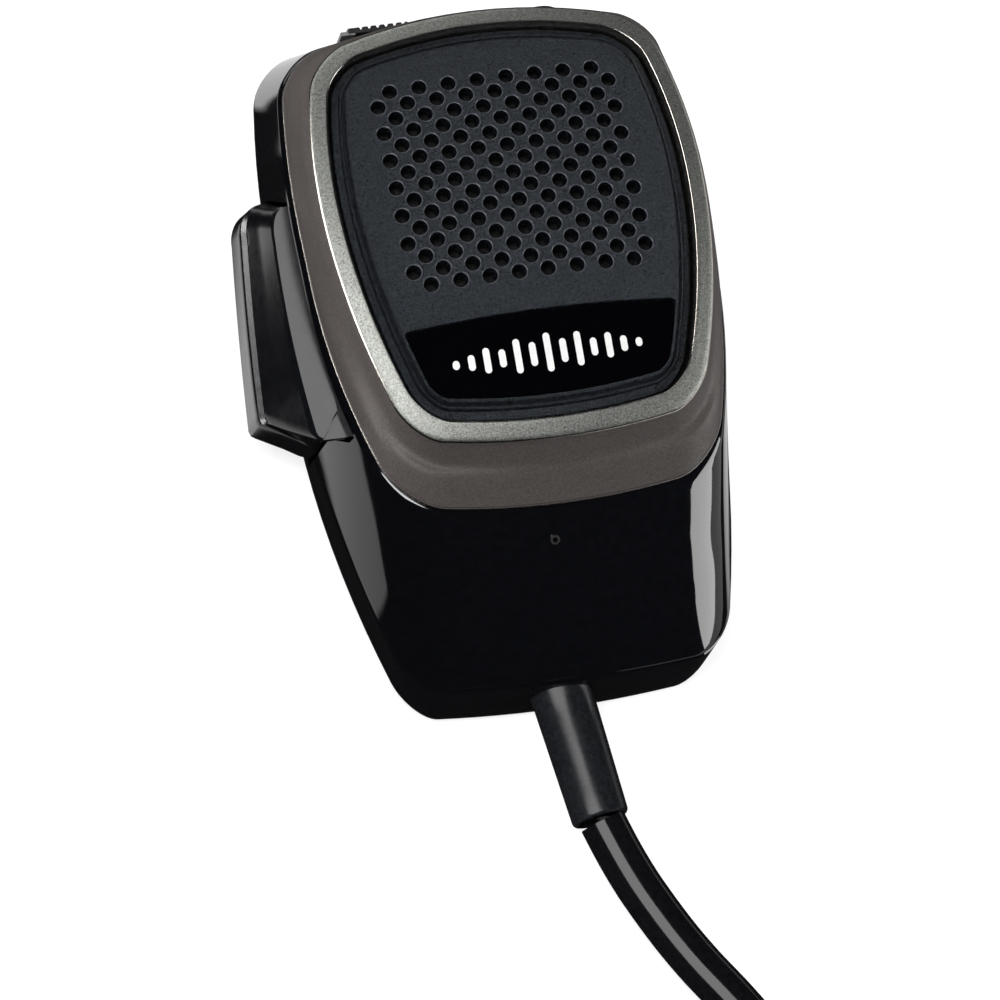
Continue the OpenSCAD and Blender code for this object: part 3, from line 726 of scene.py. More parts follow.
def bar_window(g=0.45):
    front = BAR_FRONT + g
    polygon = [
        (-29.3 - g, front), (4.6 + g, front), (5 + g, 24.6), (8.7 + g, 16.6), (9.7 + g, 12), (9.7 + g, 10.5),
        (-25.6 - g, 6.65), (-26.6 - g, 13), (-26.6 - g, 19.5), (-29.3 - g, 24.6),
    ]
    turn = Matrix(((0, 0, 1, -40), (1, 0, 0, 0), (0, 1, 0, 0), (0, 0, 0, 1)))
    return prism(polygon, turn, 17)


def make_case_front():
    edge = SEAT_H - 0.55
    wall = [(PARTING_H, -0.3), (PARTING_H + 0.25, -0.02)]
    wall += [(mix(PARTING_H + 0.4, edge, i / 30), 0) for i in range(31)]
    wall += [(edge + 0.25, -0.06), (edge + 0.42, -0.2), (edge + 0.52, -0.38), (SEAT_H, -0.55)]
    rings = [flat_ring(front_outline(z, g), z) for z, g in wall]
    rings.append(circle_ring(CAPSULE_HOLE_R, SEAT_H))
    rings.append(circle_ring(CAPSULE_HOLE_R, SEAT_H - WALL))
    rings.append(flat_ring(grown(SEAT, -3), SEAT_H - WALL))
    for z in (23.5, 20, 17.2, 15.3, 13.8, 12.5):
        rings.append(flat_ring(front_outline(z, -WALL - (0.8 if z > 15 else 0)), z - (0.6 if z > 13 else 0)))
    shell = made("case_front", "case", "gloss_black", band(rings), ("front_shell",), sharp=28)
    pillars = [rod(3, upright(x, y), pillar_base(y), SEAT_H - 0.8 if y > 0 else 21, 24) for x, y in PILLARS]
    combine(shell, pillars, "UNION", 28)
    holes = [bar_window()]
    holes += [rod(1.1, upright(x, y), 0, 19, 20) for x, y in PILLARS]
    for x in BUTTON_X:
        profile = [(BUTTON_R + 1.4, 0), (BUTTON_R + 1.4, 2.9), (BUTTON_R + 0.3, 2.9), (BUTTON_R + 0.3, 9)]
        holes.append(lathe(profile, along_y(x, 24, CONTROL_H)))
    holes.append(block((-17.9, 28.9, CONTROL_H - 3), (-5.1, 32.9, CONTROL_H + 6)))
    holes.append(block((-14.4, 24, CONTROL_H - 1.6), (-7, 28.95, CONTROL_H + 1.6)))
    port = Matrix.Translation(PORT) @ Matrix.Rotation(math.radians(34.3), 4, "X")
    holes.append(rod(0.7, port, -4, 4, 32))
    holes.append(rod(1, upright(-PIN_X, PIN_Y), 20, 27.2, 24))
    combine(shell, holes, "DIFFERENCE", 28)


def back_z(y):
    return 0.1 * (y + 20 + math.sqrt((y + 20) ** 2 + 64))


def back_round(y):
    return min(4.5, (PARTING_H - back_z(y)) * 0.8)


def pillar_base(y):
    """Where a screw pillar of the front shell meets the rear shell's boss."""
    return min(PARTING_H, max(back_z(y) + 5.3, 7.3))


def back_ring(side, end, lift, angle):
    o = PARTING
    line = o._replace(
        half=o.half - side, top=o.top - side, bottom=o.bottom + end,
        top_r=max(2, o.top_r - side * 0.6), low_r=o.low_r - side,
    )
    drop = 1 - math.sin(angle)
    return [
        Vector((x, y, min(PARTING_H - 0.25 * (lift == 0), back_z(y) + lift + back_round(y) * drop)))
        for x, y in outline(line)
    ]


def shrunk(ring, k, lift):
    """A smaller copy of a ring on the sloping back, or lift above it."""
    ends = [(p.x * k, mix(BACK_MIDDLE, p.y, k)) for p in ring]
    return [Vector((x, y, back_z(y) + lift)) for x, y in ends]


def make_case_rear():
    angles = [math.pi / 2 * i / 15 for i in range(16)]
    outer = []
    for a in angles:
        c = 1 - math.cos(a)
        outer.append(back_ring(0.6 + 4 * c, 0.1 + 0.6 * c, 0, a))
    inner = [back_ring(2.6 + 3 * (1 - math.cos(a)), 2.6, 2, a) for a in angles[::3]]
    rings = [shrunk(outer[-1], k / 8, 0) for k in range(1, 8)]
    rings += outer[::-1]
    rings.append(flat_ring(grown(PARTING, -0.02), PARTING_H - 0.25))
    rings.append(flat_ring(grown(PARTING, -0.3), PARTING_H))
    rings.append(flat_ring(grown(PARTING, -2), PARTING_H))
    rings += inner
    rings += [shrunk(inner[-1], k / 4, 2) for k in (3, 2, 1)]
    shell = made("case_rear", "case", "gloss_black", ring_stack(rings), ("rear_shell",), sharp=28)
    bosses = [rod(2.6, upright(x, y), back_z(y) + 0.5, 14, 24) for x, y in BOARD_PLACES]
    bosses.append(block((-20.2, -24, 1.5), (-18.4, -18, 21.5)))
    bosses.append(rod(2.2, upright(-PIN_X, PIN_Y), 6, 8.4, 24))
    bosses.append(rod(7.6, upright(0, 0), 3.4, 8))
    bosses += [rod(2.6, upright(x, y), 1, 9.4, 24) for x, y in CLAMP_PLACES]
    bosses.append(block((-5.4, -53, 1), (1.6, -47, 6.4)))
    for x, y in PILLARS:
        bosses.append(rod(4, upright(x, y), back_z(y) + 0.5, pillar_base(y) - 0.2, 24))
    combine(shell, bosses, "UNION", 28)
    holes = [bar_window()]
    for x, y in PILLARS:
        floor = back_z(y) + 2.2
        holes.append(lathe([(2.9, -1), (2.9, floor), (1.4, floor), (1.4, 16)], upright(x, y)))
    holes += [rod(0.8, upright(x, y), 8, 16, 16) for x, y in BOARD_PLACES]
    holes += [rod(0.9, upright(x, y), 3, 11, 16) for x, y in CLAMP_PLACES]
    holes.append(rod(2, upright(0, 0), -1, 11, 24))
    holes.append(rod(1, upright(-PIN_X, PIN_Y), 6.6, 12.6, 24))
    holes.append(lathe([(3.15, -20), (3.15, -2), (4.3, -2), (4.3, 8)], exit_place()))
    combine(shell, holes, "DIFFERENCE", 28)


make_case_front()
make_case_rear()


# ---- Frame round the grille ----

def make_bezel():
    side = blended_rings([
        flat_ring(BEZEL, SEAT_H + 0.85),
        flat_ring(BEZEL_MID, SEAT_H + 3.2),
        dome_ring(BEZEL_HIGH, -2.4),
        dome_ring(grown(RIM_OUT, 0.45), -0.85),
    ], 7)
    lip_steps = ((-0.05, 0), (0.18, 0.12), (0.22, 0.35), (0.14, 0.52), (-0.02, 0.6))
    lip = [flat_ring(grown(BEZEL, g), SEAT_H + z) for g, z in lip_steps]
    corner = dome_rings(RIM_OUT, ((0.25, -0.42), (0.06, -0.22), (-0.15, -0.13)))
    start = grown(RIM_OUT, -0.15)
    rim = [dome_ring(between(start, RIM_IN, k / 5), mix(-0.13, 0.1, k / 5)) for k in range(1, 6)]
    edge = dome_rings(RIM_IN, ((-0.12, 0.06), (-0.2, -0.05), (-0.25, -0.22)))
    inside = dome_rings(PANEL, ((0.14, -1.75), (0.1, -3.25), (-1.4, -3.25), (-1.4, -4.8)))
    inside.append(flat_ring(grown(BEZEL, -2.2), SEAT_H))
    rings = lip + side + corner + rim + edge + inside
    bezel = made("grille_frame", "case", "taupe_paint", band(rings), ("bezel",), sharp=50)
    n = len(rings[0])
    first_rim = len(lip) + len(side) + 1
    first_edge = first_rim + 1 + len(rim)
    # The lip, the rim's outer corner and the rim's inner wall are given this lighter metal as painted
    # highlight lines
    bright = [*range(len(lip) - 2), first_rim - 1, *range(first_edge, first_edge + 4)]
    repaint(bezel, "rim_paint", lambda face: first_rim <= face.index // n < first_edge)
    repaint(bezel, "lip_paint", lambda face: face.index // n in bright)


make_bezel()


# ---- Grille panel and plate ----

def sound_holes():
    """Middles of the holes: 15 staggered rows of 8 and 9."""
    out = []
    for row in range(15):
        count = 8 + row % 2
        out += [((i - (count - 1) / 2) * 4, (7 - row) * 2) for i in range(count)]
    return out


def inside_loop(x, y, loop):
    found = False
    for (x1, y1), (x2, y2) in zip(loop, loop[1:] + loop[:1]):
        if (y1 > y) != (y2 > y) and x < (x2 - x1) * (y - y1) / (y2 - y1) + x1:
            found = not found
    return found


def clear_of(x, y, loop, gap):
    return all((x - a) ** 2 + (y - b) ** 2 > gap * gap for a, b in loop)


def filled(border, openings, spacing, keep_out=()):
    """Points and faces of a flat region between a border loop and the openings' loops.

    Keep_out holds the round openings again, as (x, y, r); the others are told by their many points.
    """
    walls = [loop for loop in openings if len(loop) > HOLE_SIDES]
    points = [Vector((x, y)) for x, y in border]
    edges = [(i, (i + 1) % len(border)) for i in range(len(border))]
    for loop in openings:
        start = len(points)
        points += [Vector((x, y)) for x, y in loop]
        edges += [(start + i, start + (i + 1) % len(loop)) for i in range(len(loop))]
    xs = [x for x, y in border]
    ys = [y for x, y in border]
    y = min(ys) + spacing / 2
    row = 0
    while y < max(ys):
        x = min(xs) + spacing * (0.5 if row % 2 else 0.25)
        while x < max(xs):
            clear = all((x - a) ** 2 + (y - b) ** 2 > r * r for a, b, r in keep_out)
            if clear and inside_loop(x, y, border) and clear_of(x, y, border, spacing / 2):
                if all(clear_of(x, y, wall, spacing / 2) and not inside_loop(x, y, wall) for wall in walls):
                    points.append(Vector((x, y)))
            x += spacing
        y += spacing * 0.866
        row += 1
    out_points, _, out_faces, _, _, _ = delaunay_2d_cdt(points, edges, [], 0, 1e-6)
    faces = []
    for face in out_faces:
        cx = sum(out_points[i].x for i in face) / len(face)
        cy = sum(out_points[i].y for i in face) / len(face)
        in_hole = any((cx - a) ** 2 + (cy - b) ** 2 < (r * 0.98) ** 2 for a, b, r in keep_out)
        in_wall = any(inside_loop(cx, cy, wall) for wall in walls)
        if inside_loop(cx, cy, border) and not in_hole and not in_wall:
            faces.append(tuple(face))
    return [(p.x, p.y) for p in out_points], faces


HOLE_SIDES = 24
HOLE_STEPS = ((1.16, 0.0), (1.1, -0.02), (1.03, -0.09), (0.99, -0.24), (0.94, -PANEL_T))


def round_loop(cx, cy, r, sides):
    return arc(cx, cy, r, 0, 360, sides)[:-1]


def make_grille():
    """Front skin, hole walls, stepped border and back skin, closed."""
    points = []
    faces = []

    def add(shape):
        append(points, faces, shape)

    def bands(rings):
        add(band(rings, loop=False))

    spots = sound_holes()
    panel_steps = ((0, -3.2), (0, -1.5), (-0.06, -1.36), (-0.2, -1.3))
    plateau_steps = (
        (0.78, -1.26), (0.68, -1.2), (0.6, -0.72), (0.5, -0.6), (0.36, -0.6), (0.28, -0.68), (0.2, -0.95),
        (0.08, -1), (-0.02, -0.92), (-0.12, -0.3), (-0.24, -0.1), (-0.42, -0.015), (-0.6, 0),
    )
    bands(dome_rings(PANEL, panel_steps) + dome_rings(PLATEAU, plateau_steps))
    top = outline(grown(PLATEAU, -0.6))
    plate = outline(grown(PLATE, 0.3))
    bands(dome_rings(PLATE, ((0.3, 0), (0.2, -0.04), (0.15, -0.15), (0.15, -1.1))))
    mouths = [round_loop(x, y, HOLE_STEPS[0][0], HOLE_SIDES) for x, y in spots]
    rings = [(x, y, HOLE_STEPS[0][0]) for x, y in spots]
    flat, flat_faces = filled(top, mouths + [plate], 1.6, rings)
    add((on_dome(flat, 0), flat_faces))
    first_edge = len(faces)
    for x, y in spots:
        bands([on_dome(round_loop(x, y, r, HOLE_SIDES), dz) for r, dz in HOLE_STEPS])
    last_edge = len(faces)
    back = outline(grown(PLATEAU, -0.6))
    bores = [round_loop(x, y, HOLE_STEPS[-1][0], HOLE_SIDES) for x, y in spots]
    ends = [(x, y, HOLE_STEPS[-1][0]) for x, y in spots]
    flat, flat_faces = filled(back, bores, 2.4, ends)
    add((on_dome(flat, -PANEL_T), [face[::-1] for face in flat_faces]))
    bands([on_dome(back, -PANEL_T)] + dome_rings(PANEL, ((-0.9, -PANEL_T - 0.1), (-1, -3.2), (0, -3.2))))
    floor = outline(grown(PLATE, 0.15))
    flat, flat_faces = filled(floor, [], 3)
    add((on_dome(flat, -1.1), flat_faces))
    skin = made("grille_skin", "case", "grille_black", (points, faces), ("grille_panel",), sharp=38)
    steps = len(HOLE_STEPS) - 1

    # The two rings at each hole's mouth get a lighter colour, a painted highlight on the hole rims
    def in_painted_highlight(face):
        ring = (face.index - first_edge) // HOLE_SIDES % steps
        return first_edge <= face.index < last_edge and ring < 2

    repaint(skin, "hole_edge", in_painted_highlight)


PLATE_SINK = -0.3
MARK_HEIGHTS = (1.2, 2.1, 3.4, 2.4, 4.6, 3.2, 5.2, 3.2, 4.6, 2.4, 3.4, 2.1, 1.2)
MARK_GAP = 2.1
MARK_HALF = 0.46
MARK_Y = -25.2


def mark_loop(cx, h):
    """One printed bar with round ends."""
    reach = h / 2 - MARK_HALF
    top = arc(cx, MARK_Y + reach, MARK_HALF, 0, 180, 8)
    return top + arc(cx, MARK_Y - reach, MARK_HALF, 180, 180, 8)


def make_plate():
    """The gloss plate, with a plain row of sound-wave bars as its printed mark."""
    steps = ((0, -1.1), (0, -0.42), (-0.05, -0.33), (-0.16, PLATE_SINK))
    points, faces = band(dome_rings(PLATE, steps), loop=False)
    flat, flat_faces = filled(outline(grown(PLATE, -0.16)), [], 1.5)
    append(points, faces, (on_dome(flat, PLATE_SINK), flat_faces))
    flat, flat_faces = filled(outline(PLATE), [], 3)
    append(points, faces, (on_dome(flat, -1.1), [face[::-1] for face in flat_faces]))
    plain_faces = len(faces)
    for i, h in enumerate(MARK_HEIGHTS):
        loop = mark_loop((i - (len(MARK_HEIGHTS) - 1) / 2) * MARK_GAP, h)
        skin = on_dome(loop, PLATE_SINK)
        append(points, faces, ring_stack([[p + Vector((0, 0, dz)) for p in skin] for dz in (-0.1, 0.05)]))
    plate = made("mark_plate", "case", "plate_black", (points, faces), ("name_plate",), sharp=30)
    repaint(plate, "print_white", lambda face: face.index >= plain_faces)


make_grille()
make_plate()


# ---- Talk bar ----

# One level of the bar: its height, its rise along y, its top end, its outer x at the top, middle and
# bottom, its bottom end outside and inside, and its inner x
Level = namedtuple("Level", "height rise top x_top x_mid x_low low_out low_in inner")
BAR_LEVELS = [Level(*row) for row in (
    (7.2, 0.11, 8.8, 32.3, 33.9, 34.6, -20.2, -24.8, 28),
    (8, 0.11, 9.6, 33.5, 34.8, 35.8, -21.6, -25.4, 28),
    (13.7, 0.08, 8.6, 33.3, 34.6, 35.5, -22.2, -26.4, 28),
    (14.2, 0.08, 8.6, 33.1, 34.4, 35.3, -22.2, -26.4, 28),
    (14.4, 0.08, 8.5, 32.4, 33.7, 34.6, -22.3, -26.4, 28),
    (15, 0.08, 8.4, 32.5, 33.8, 34.7, -22.5, -26.4, 28),
    (20, 0.03, 6.6, 31.7, 32.7, 32.9, -25.8, -26.6, 28),
    (BAR_FRONT - 0.4, 0, 4.6, 31, 31.5, 30.9, -29.3, -25.6, 27.2),
    (BAR_FRONT, 0, 4.4, 30.7, 31.2, 30.6, -29.1, -25.4, 27.2),
)]
BAR_STEPS = (3, 5, 2, 1, 2, 5, 7, 3)
BAR_ROUND = 4.6


def bar_ring(b, steps=28):
    """The bar's outline at one level."""
    loop = [(-b.inner, b.low_in), (-b.inner, b.top - 0.8)]
    loop += [(-b.inner - 0.25, b.top - 0.25), (-b.inner - 0.8, b.top)]
    start = mix(b.inner, b.x_top, 0.35)
    for a in range(0, 90, 10):
        turn = math.radians(a)
        loop.append((-mix(start, b.x_top, math.sin(turn)), b.top - BAR_ROUND * (1 - math.cos(turn))))
    bend = 2 * b.x_mid - (b.x_top + b.x_low) / 2
    for i in range(steps + 1):
        t = i / steps
        x = b.x_top * (1 - t) ** 2 + bend * 2 * t * (1 - t) + b.x_low * t * t
        loop.append((-x, mix(b.top - BAR_ROUND, b.low_out + 1.1, t)))
    loop.append((-b.x_low + 0.22, b.low_out + 0.4))
    loop.append((-b.x_low + 0.8, b.low_out))
    loop.append((-mix(b.inner, b.x_low, 0.45), mix(b.low_in, b.low_out, 0.55) - 0.2))
    loop.append((-mix(b.inner, b.x_low, 0.2), mix(b.low_in, b.low_out, 0.2) - 0.1))
    return [Vector((x, y, b.height + b.rise * (y + 25))) for x, y in loop]


def make_bar():
    levels = []
    for a, b, steps in zip(BAR_LEVELS, BAR_LEVELS[1:], BAR_STEPS):
        levels += [between(a, b, k / steps) for k in range(steps)]
    rings = [bar_ring(level) for level in levels + [BAR_LEVELS[-1]]]
    bar = made("talk_lever", "talk_bar", "bar_black", ring_stack(rings), ("talk_bar",), sharp=24)
    spine = block((-29.4, -23.6, 11.6), (-24.4, 5.4, 22.8))
    tongue = block((-29.9, -29, 24.1), (-24.3, -21, 24.9))
    combine(bar, [spine, tongue], "UNION", 24)
    pocket = Matrix.Translation((-26, -20.9, 18.6)) @ Matrix.Rotation(math.pi / 2, 4, "Y")
    holes = [rod(1.05, upright(-PIN_X, PIN_Y), 0, 40, 24), rod(2.8, pocket, 0, 3, 32)]
    combine(bar, holes, "DIFFERENCE", 24)


make_bar()


# ---- Top controls ----

KNOB_HALF = 4.4
KNOB_FOOT = 29.2
KNOB_TOP = 30.1
KNOB_RIBS = 6
RIB_PITCH = 1.2
GROOVE = (
    (0, 30.1), (0.07, 30.02), (0.12, 29.75), (0.2, 29.7),
    (0.4, 29.7), (0.48, 29.75), (0.53, 30.02), (0.6, 30.1),
)


def make_knob():
    """A plate with rounded ribs across it, on a stem."""
    left = KNOB_X - KNOB_HALF
    right = KNOB_X + KNOB_HALF
    profile = [(left, 29.75), (left + 0.1, 29.95), (left + 0.25, KNOB_TOP)]
    for i in range(KNOB_RIBS):
        groove = KNOB_X - 2.7 + RIB_PITCH * i
        profile += [(groove + dx, y) for dx, y in GROOVE]
    profile += [(right - 0.25, KNOB_TOP), (right - 0.1, 29.95), (right, 29.75)]
    profile += [(right, KNOB_FOOT), (left, KNOB_FOOT)]
    rings = []
    for z, inset in ((-2.2, 0.15), (-2.08, 0.04), (-1.95, 0), (1.95, 0), (2.08, 0.04), (2.2, 0.15)):
        across = 1 - inset / KNOB_HALF
        up = 1 - inset / (KNOB_TOP - KNOB_FOOT)
        rings.append([
            Vector((mix(KNOB_X, x, across), mix(KNOB_FOOT, y, up), CONTROL_H + z)) for x, y in profile
        ])
    n = len(profile)
    points, faces = band(rings, loop=False)
    faces += [tuple(range(n))[::-1], tuple(range(n * (len(rings) - 1), n * len(rings)))]
    knob = made("slide_cap", "slide_knob", "switch_black", (points, faces), ("slide_knob",), sharp=30)
    stem = block((KNOB_X - 1.6, 24.7, CONTROL_H - 1.3), (KNOB_X + 1.6, 29.4, CONTROL_H + 1.3))
    foot = block((KNOB_X - 5.3, 29, CONTROL_H - 2.2), (KNOB_X - 3.3, 29.55, CONTROL_H + 2.2))
    combine(knob, [stem, foot], "UNION", 30)
    repaint(knob, "knob_grey", lambda face: face.center.x < (KNOB_X - 2.9) * MM)


def make_buttons():
    for name, body, x in (("up_key", "up_button", BUTTON_X[0]), ("down_key", "down_button", BUTTON_X[1])):
        profile = [(0, 0), (BUTTON_R + 1, 0), (BUTTON_R + 1, 0.9), (BUTTON_R, 0.9), (BUTTON_R, 3.6)]
        profile += [(BUTTON_R - 0.06, 3.8), (BUTTON_R - 0.2, 3.98)]
        for k in range(1, 10):
            a = math.radians(34.6 * (1 - k / 9)) * 0.93
            profile.append((5.46 * math.sin(a), 5.46 * math.cos(a) - 0.6))
        made(name, body, "soft_black", lathe(profile, along_y(x, 25.5, CONTROL_H)), (body,), sharp=40)


make_knob()
make_buttons()


# ---- Hang button, sleeve, tie and plug ----

def make_hang_button():
    profile = [
        (0, 0), (6.1, 0), (6.5, 0.5), (6.5, 1.3), (5.9, 1.7),
        (3.5, 1.8), (3.5, 3.4), (2, 3.4), (2, 7.8), (1.2, 7.8),
    ]
    profile = rounded(profile, 0.2) + [(1.2, 3), (0, 3)]
    made("hang_stud", "case", "satin_metal", lathe(profile, Matrix(), 72), ("hang_button",), sharp=35)


def make_sleeve():
    profile = [(3.15, -1.9), (4.3, -1.9), (4.3, 1.6), (4.2, 1.9)]
    profile += [(mix(4.2, 3.9, k / 6), mix(1.9, RELIEF_LEN - 0.6, k / 6)) for k in range(1, 7)]
    profile += [(3.84, RELIEF_LEN - 0.3), (3.65, RELIEF_LEN - 0.05), (3.5, RELIEF_LEN), (3.15, RELIEF_LEN)]
    shape = band(turned_rings(profile, exit_place(), 64))
    made("cord_sleeve", "case", "soft_black", shape, ("strain_relief",), sharp=35)


def strap_loop(r, lowest):
    """An oval round the hank's runs, flat where it lies on the table."""
    loop = arc(LEG_X[0], CURL_MID, r, 90, -180, 24) + arc(LEG_X[2], CURL_MID, r, 270, -180, 24)
    return [(x, max(lowest, z)) for x, z in loop]


STRAP_Y = (-159.1, -165.9)


def make_strap():
    """A hook-and-loop strap round the hank, its end lapped on top."""
    inner = strap_loop(CURL_MID + 0.05, 0.3)
    outer = strap_loop(CURL_MID + 0.75, 0.02)
    rows = ((STRAP_Y[0], inner), (STRAP_Y[0], outer), (STRAP_Y[1], outer), (STRAP_Y[1], inner))
    rings = [[Vector((x, y, z)) for x, z in loop] for y, loop in rows]
    strap = made("cord_strap", "case", "tie_black", band(rings), ("cord_tie",), sharp=35)
    place = Matrix.Translation((-18, -159.4, 2 * CURL_MID + 0.7)) @ Matrix.Rotation(math.pi / 2, 4, "X")
    lap = prism([(0, 0), (0.5, -0.25), (16, -0.25), (16, 0.65), (0.6, 0.65), (0, 0.35)], place, 6.2)
    combine(strap, [lap], "UNION", 35)


PLUG_SIDES = 72
KNURLS = 24
KNURL_DEPTH = 0.32
THREADS = 13


def knurled_rings(profile, place, sides):
    """Rings with grooves cut along the widest part."""
    rings = []
    for r, h in profile:
        deep = KNURL_DEPTH if r > RING_R - 0.05 and 1.4 < h < 13.6 else 0
        ring = []
        for j in range(sides):
            a = 2 * math.pi * j / sides
            depth = deep * max(0, math.cos(KNURLS * a)) ** 2
            ring.append(place @ Vector(((r - depth) * math.cos(a), (r - depth) * math.sin(a), h)))
        rings.append(ring)
    return rings


def make_plug():
    place = plug_place()
    body = [(6.8, 14.4), (8.6, 14.4), (8.6, 15.8), (8, 15.8), (8, 33), (7.2, 36)]
    body += [(4.4, 36), (4.4, 34.4), (6.8, 32.4)]
    shell = band(turned_rings(rounded(body + [body[0]])[:-1], place, PLUG_SIDES))
    made("plug_shell", "case", "plug_metal", shell, ("plug_body",), sharp=30)
    ring = [(7.5, 0), (RING_R - 0.4, 0), (RING_R - 0.12, 0.12), (RING_R, 0.4), (RING_R, 1.3)]
    ring += [(RING_R, 1.5 + 2 * k) for k in range(7)]
    ring += [(RING_R, 13.7), (RING_R, 17.5), (RING_R - 0.15, 17.88), (RING_R - 0.5, 18), (8.15, 18)]
    ring += [(8.1, 16.15), (8.75, 16.1), (8.75, 14.1), (8.1, 14.05), (8.1, 13), (7.55, 13)]
    for k in range(THREADS):
        ring += [(7.5, 12.6 - k), (7.85, 12.35 - k), (7.85, 12.1 - k)]
    nut = band(knurled_rings(ring, place, 2 * PLUG_SIDES))
    made("coupling_nut", "plug_ring", "plug_metal", nut, ("plug_ring",), sharp=30)
    sleeve = [(3.15, 32.6), (4.35, 32.6), (4.35, 36.2), (5.2, 36.2)]
    sleeve += [(mix(5.2, 4.2, k / 5), mix(36.4, 47.6, k / 5)) for k in range(6)]
    sleeve += [(4.0, 47.9), (3.15, 48)]
    relief = band(turned_rings(sleeve, place, PLUG_SIDES))
    made("plug_sleeve", "case", "soft_black", relief, ("plug_relief",), sharp=30)


make_hang_button()
make_sleeve()
make_strap()
make_plug()


# ---- Floor and light ----

# Lit patches of the floor, as the gloss black mirrors them: x from and to, y from and to, in
# millimetres, and brightness
PATCHES = (
    (-55, -37.5, -49, -12, 0.95), (-46, -37, -22, 18, 1.1), (-38.5, -34.8, 24, 44, 0.6),
    (-31, -12, 31, 52, 0.9), (68, 1500, -600, 150, 0.75), (34, 44, -90, 30, 0.7),
)
PATCH_EDGE = 2
UNLIT = 0.012
# The floor's own glow and its grey as the camera sees them, and the white that it bounces
FLOOR_GLOW = 0.72
FLOOR_GREY = 0.4
FLOOR_WHITE = 0.95
# The world's brightness to matt surfaces and to mirrors
SKY = 0.6
MIRRORED_SKY = 0.012
FLOOR_HALF = 4
FLOOR_CORNERS = ((-1, -1), (1, -1), (1, 1), (-1, 1))


def patch_mask(graph, axes, patch):
    """How bright one patch is at a point, with soft edges."""
    left, right, low, high, mask = patch
    for axis, at, way in (("X", left, 1), ("X", right, -1), ("Y", low, 1), ("Y", high, -1)):
        soft = way * PATCH_EDGE / 2
        low_end = (at - soft) * MM
        ramp = graph.node("MapRange", Value=axes.outputs[axis], From_Min=low_end, From_Max=(at + soft) * MM)
        ramp.interpolation_type = "SMOOTHSTEP"
        mask = graph.math("MULTIPLY", ramp.outputs["Result"], mask)
    return mask


def make_floor():
    """White to the camera and as a matt bounce. To the gloss black it is dark, but for the lit patches."""
    mesh = bpy.data.meshes.new("floor")
    mesh.from_pydata([(x * FLOOR_HALF, y * FLOOR_HALF, 0) for x, y in FLOOR_CORNERS], [], [(0, 1, 2, 3)])
    floor = put("floor", mesh)
    material = bpy.data.materials.new("floor_white")
    material.use_nodes = True
    material.node_tree.nodes.clear()
    graph = Graph(material.node_tree)
    glow = graph.node("Emission", Color=(1, 1, 1, 1), Strength=FLOOR_GLOW)
    shaded = graph.node("BsdfDiffuse", Color=(FLOOR_GREY, FLOOR_GREY, FLOOR_GREY, 1))
    seen = graph.join("AddShader", glow.outputs[0], shaded.outputs[0])
    axes = graph.node("SeparateXYZ", Vector=graph.node("TexCoord").outputs["Object"])
    lit = UNLIT
    for patch in PATCHES:
        lit = graph.math("MAXIMUM", patch_mask(graph, axes, patch), lit)
    mirrored = graph.node("Emission", Color=(1, 1, 1, 1), Strength=lit).outputs[0]
    white = graph.node("BsdfDiffuse", Color=(FLOOR_WHITE, FLOOR_WHITE, FLOOR_WHITE, 1)).outputs[0]
    path = graph.node("LightPath")
    bounced = graph.join("MixShader", path.outputs["Is Glossy Ray"], white, mirrored)
    surface = graph.join("MixShader", path.outputs["Is Camera Ray"], bounced, seen)
    graph.node("OutputMaterial", Surface=surface)
    mesh.materials.append(material)


def soft_box(name, place, aim, size, power):
    data = bpy.data.lights.new(name, "AREA")
    data.shape = "RECTANGLE"
    data.size, data.size_y = size
    data.energy = power
    lamp = put(name, data)
    lamp.location = place
    lamp.rotation_euler = (Vector(aim) - Vector(place)).to_track_quat("-Z", "Y").to_euler()
    return lamp


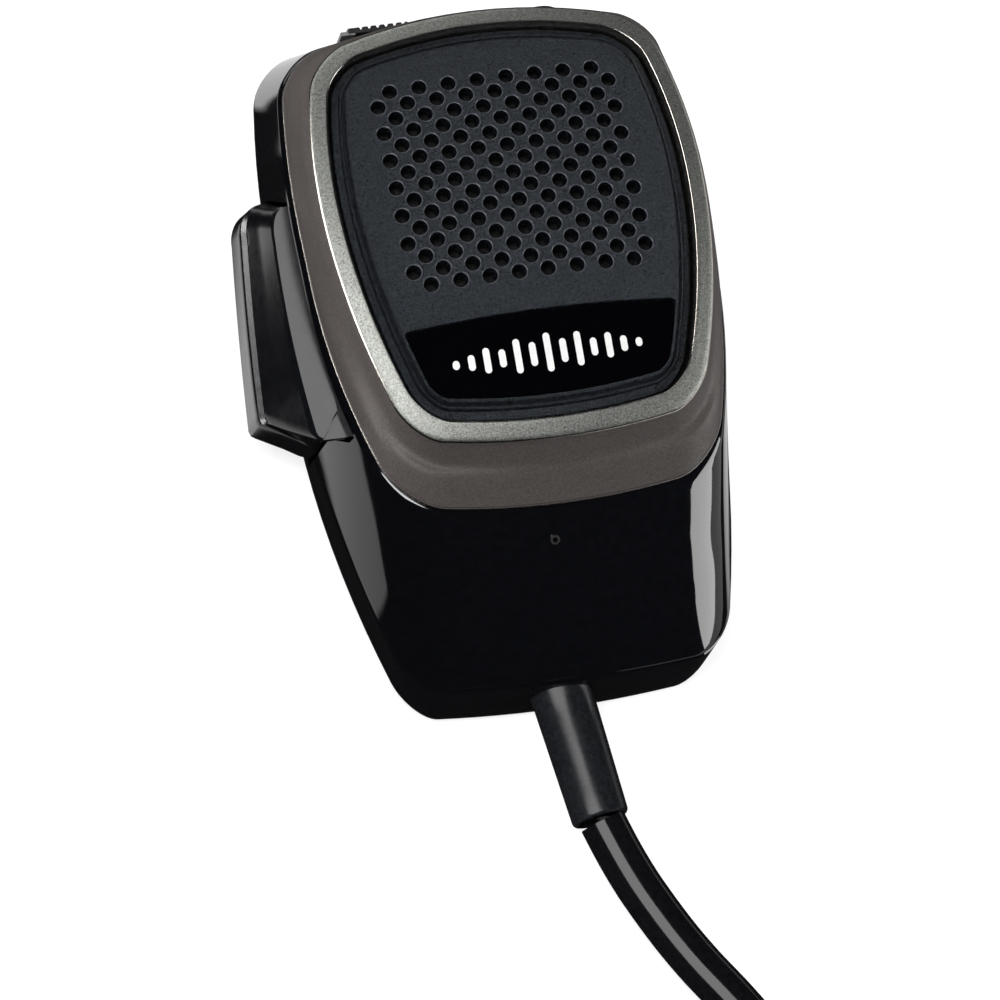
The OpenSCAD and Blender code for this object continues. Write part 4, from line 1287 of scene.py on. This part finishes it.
def make_world():
    """Even light on every matt surface, but dark in the mirror of the gloss black."""
    world = bpy.data.worlds.new("studio")
    bpy.context.scene.world = world
    world.use_nodes = True
    world.node_tree.nodes.clear()
    graph = Graph(world.node_tree)
    bright = graph.node("Background", Color=(1, 1, 1, 1), Strength=SKY).outputs[0]
    dim = graph.node("Background", Color=(0.9, 0.95, 1, 1), Strength=MIRRORED_SKY).outputs[0]
    glossy = graph.node("LightPath").outputs["Is Glossy Ray"]
    graph.node("OutputWorld", Surface=graph.join("MixShader", glossy, bright, dim))


def light_only(lamp, names, how):
    """Lets a lamp light only the named pieces, or all but them."""
    group = bpy.data.collections.new(lamp.name + "_pieces")
    for name in names:
        group.objects.link(bpy.data.objects[name])
    for entry in group.collection_objects:
        entry.light_linking.link_state = "EXCLUDE" if how == "not" else "INCLUDE"
    lamp.light_linking.receiver_collection = group
    if how == "unshaded":
        lamp.light_linking.blocker_collection = group


CASE = ("case_front", "case_rear")
CORD = ("cord", "cord_sleeve")
PLATE_ONLY = ("mark_plate",)
LEVER = ("talk_lever",)
# Name, place and aim in metres, size, watts, and which pieces it lights, if not all
LAMPS = (
    ("main_box", (-0.38, -0.12, 1.13), (0, 0, 0.02), (0.42, 0.5), 10, "not", CORD + PLATE_ONLY),
    ("print_box", (-0.7, -0.7, 0.8), (0, -0.025, 0.04), (0.4, 0.4), 12, "only", PLATE_ONLY),
    ("cord_box", (-0.5, -0.4, 1.0), (0.01, -0.09, 0.01), (1, 1), 13, "only", CORD),
    ("strip_box", (0.86, -0.42, 0.23), (0.02, -0.04, 0.02), (0.7, 0.5), 8, "only", CASE),
    ("right_box", (0.95, -0.25, 0.35), (0.02, -0.01, 0.03), (0.4, 0.5), 5, "not", CASE + CORD + PLATE_ONLY),
    ("left_box", (-1.1, 0.25, 0.4), (0, 0, 0.03), (0.8, 0.5), 13, "only", ("grille_frame",)),
    ("back_box", (-0.2, 1.1, 0.35), (0, 0, 0.02), (0.9, 0.4), 4, "all", ()),
    ("bar_box", (0.28, 0.4, 1.12), (-0.03, -0.01, 0.026), (0.5, 0.5), 4, "unshaded", LEVER),
    ("edge_box", (-0.36, 0.4, 1.1), (-0.033, -0.01, 0.014), (0.12, 0.5), 5, "only", LEVER),
)


def make_lights():
    for name, place, aim, size, power, how, pieces in LAMPS:
        lamp = soft_box(name, place, aim, size, power)
        if how != "all":
            light_only(lamp, pieces, how)


make_floor()
make_world()
make_lights()
bpy.context.scene.view_settings.view_transform = "Standard"
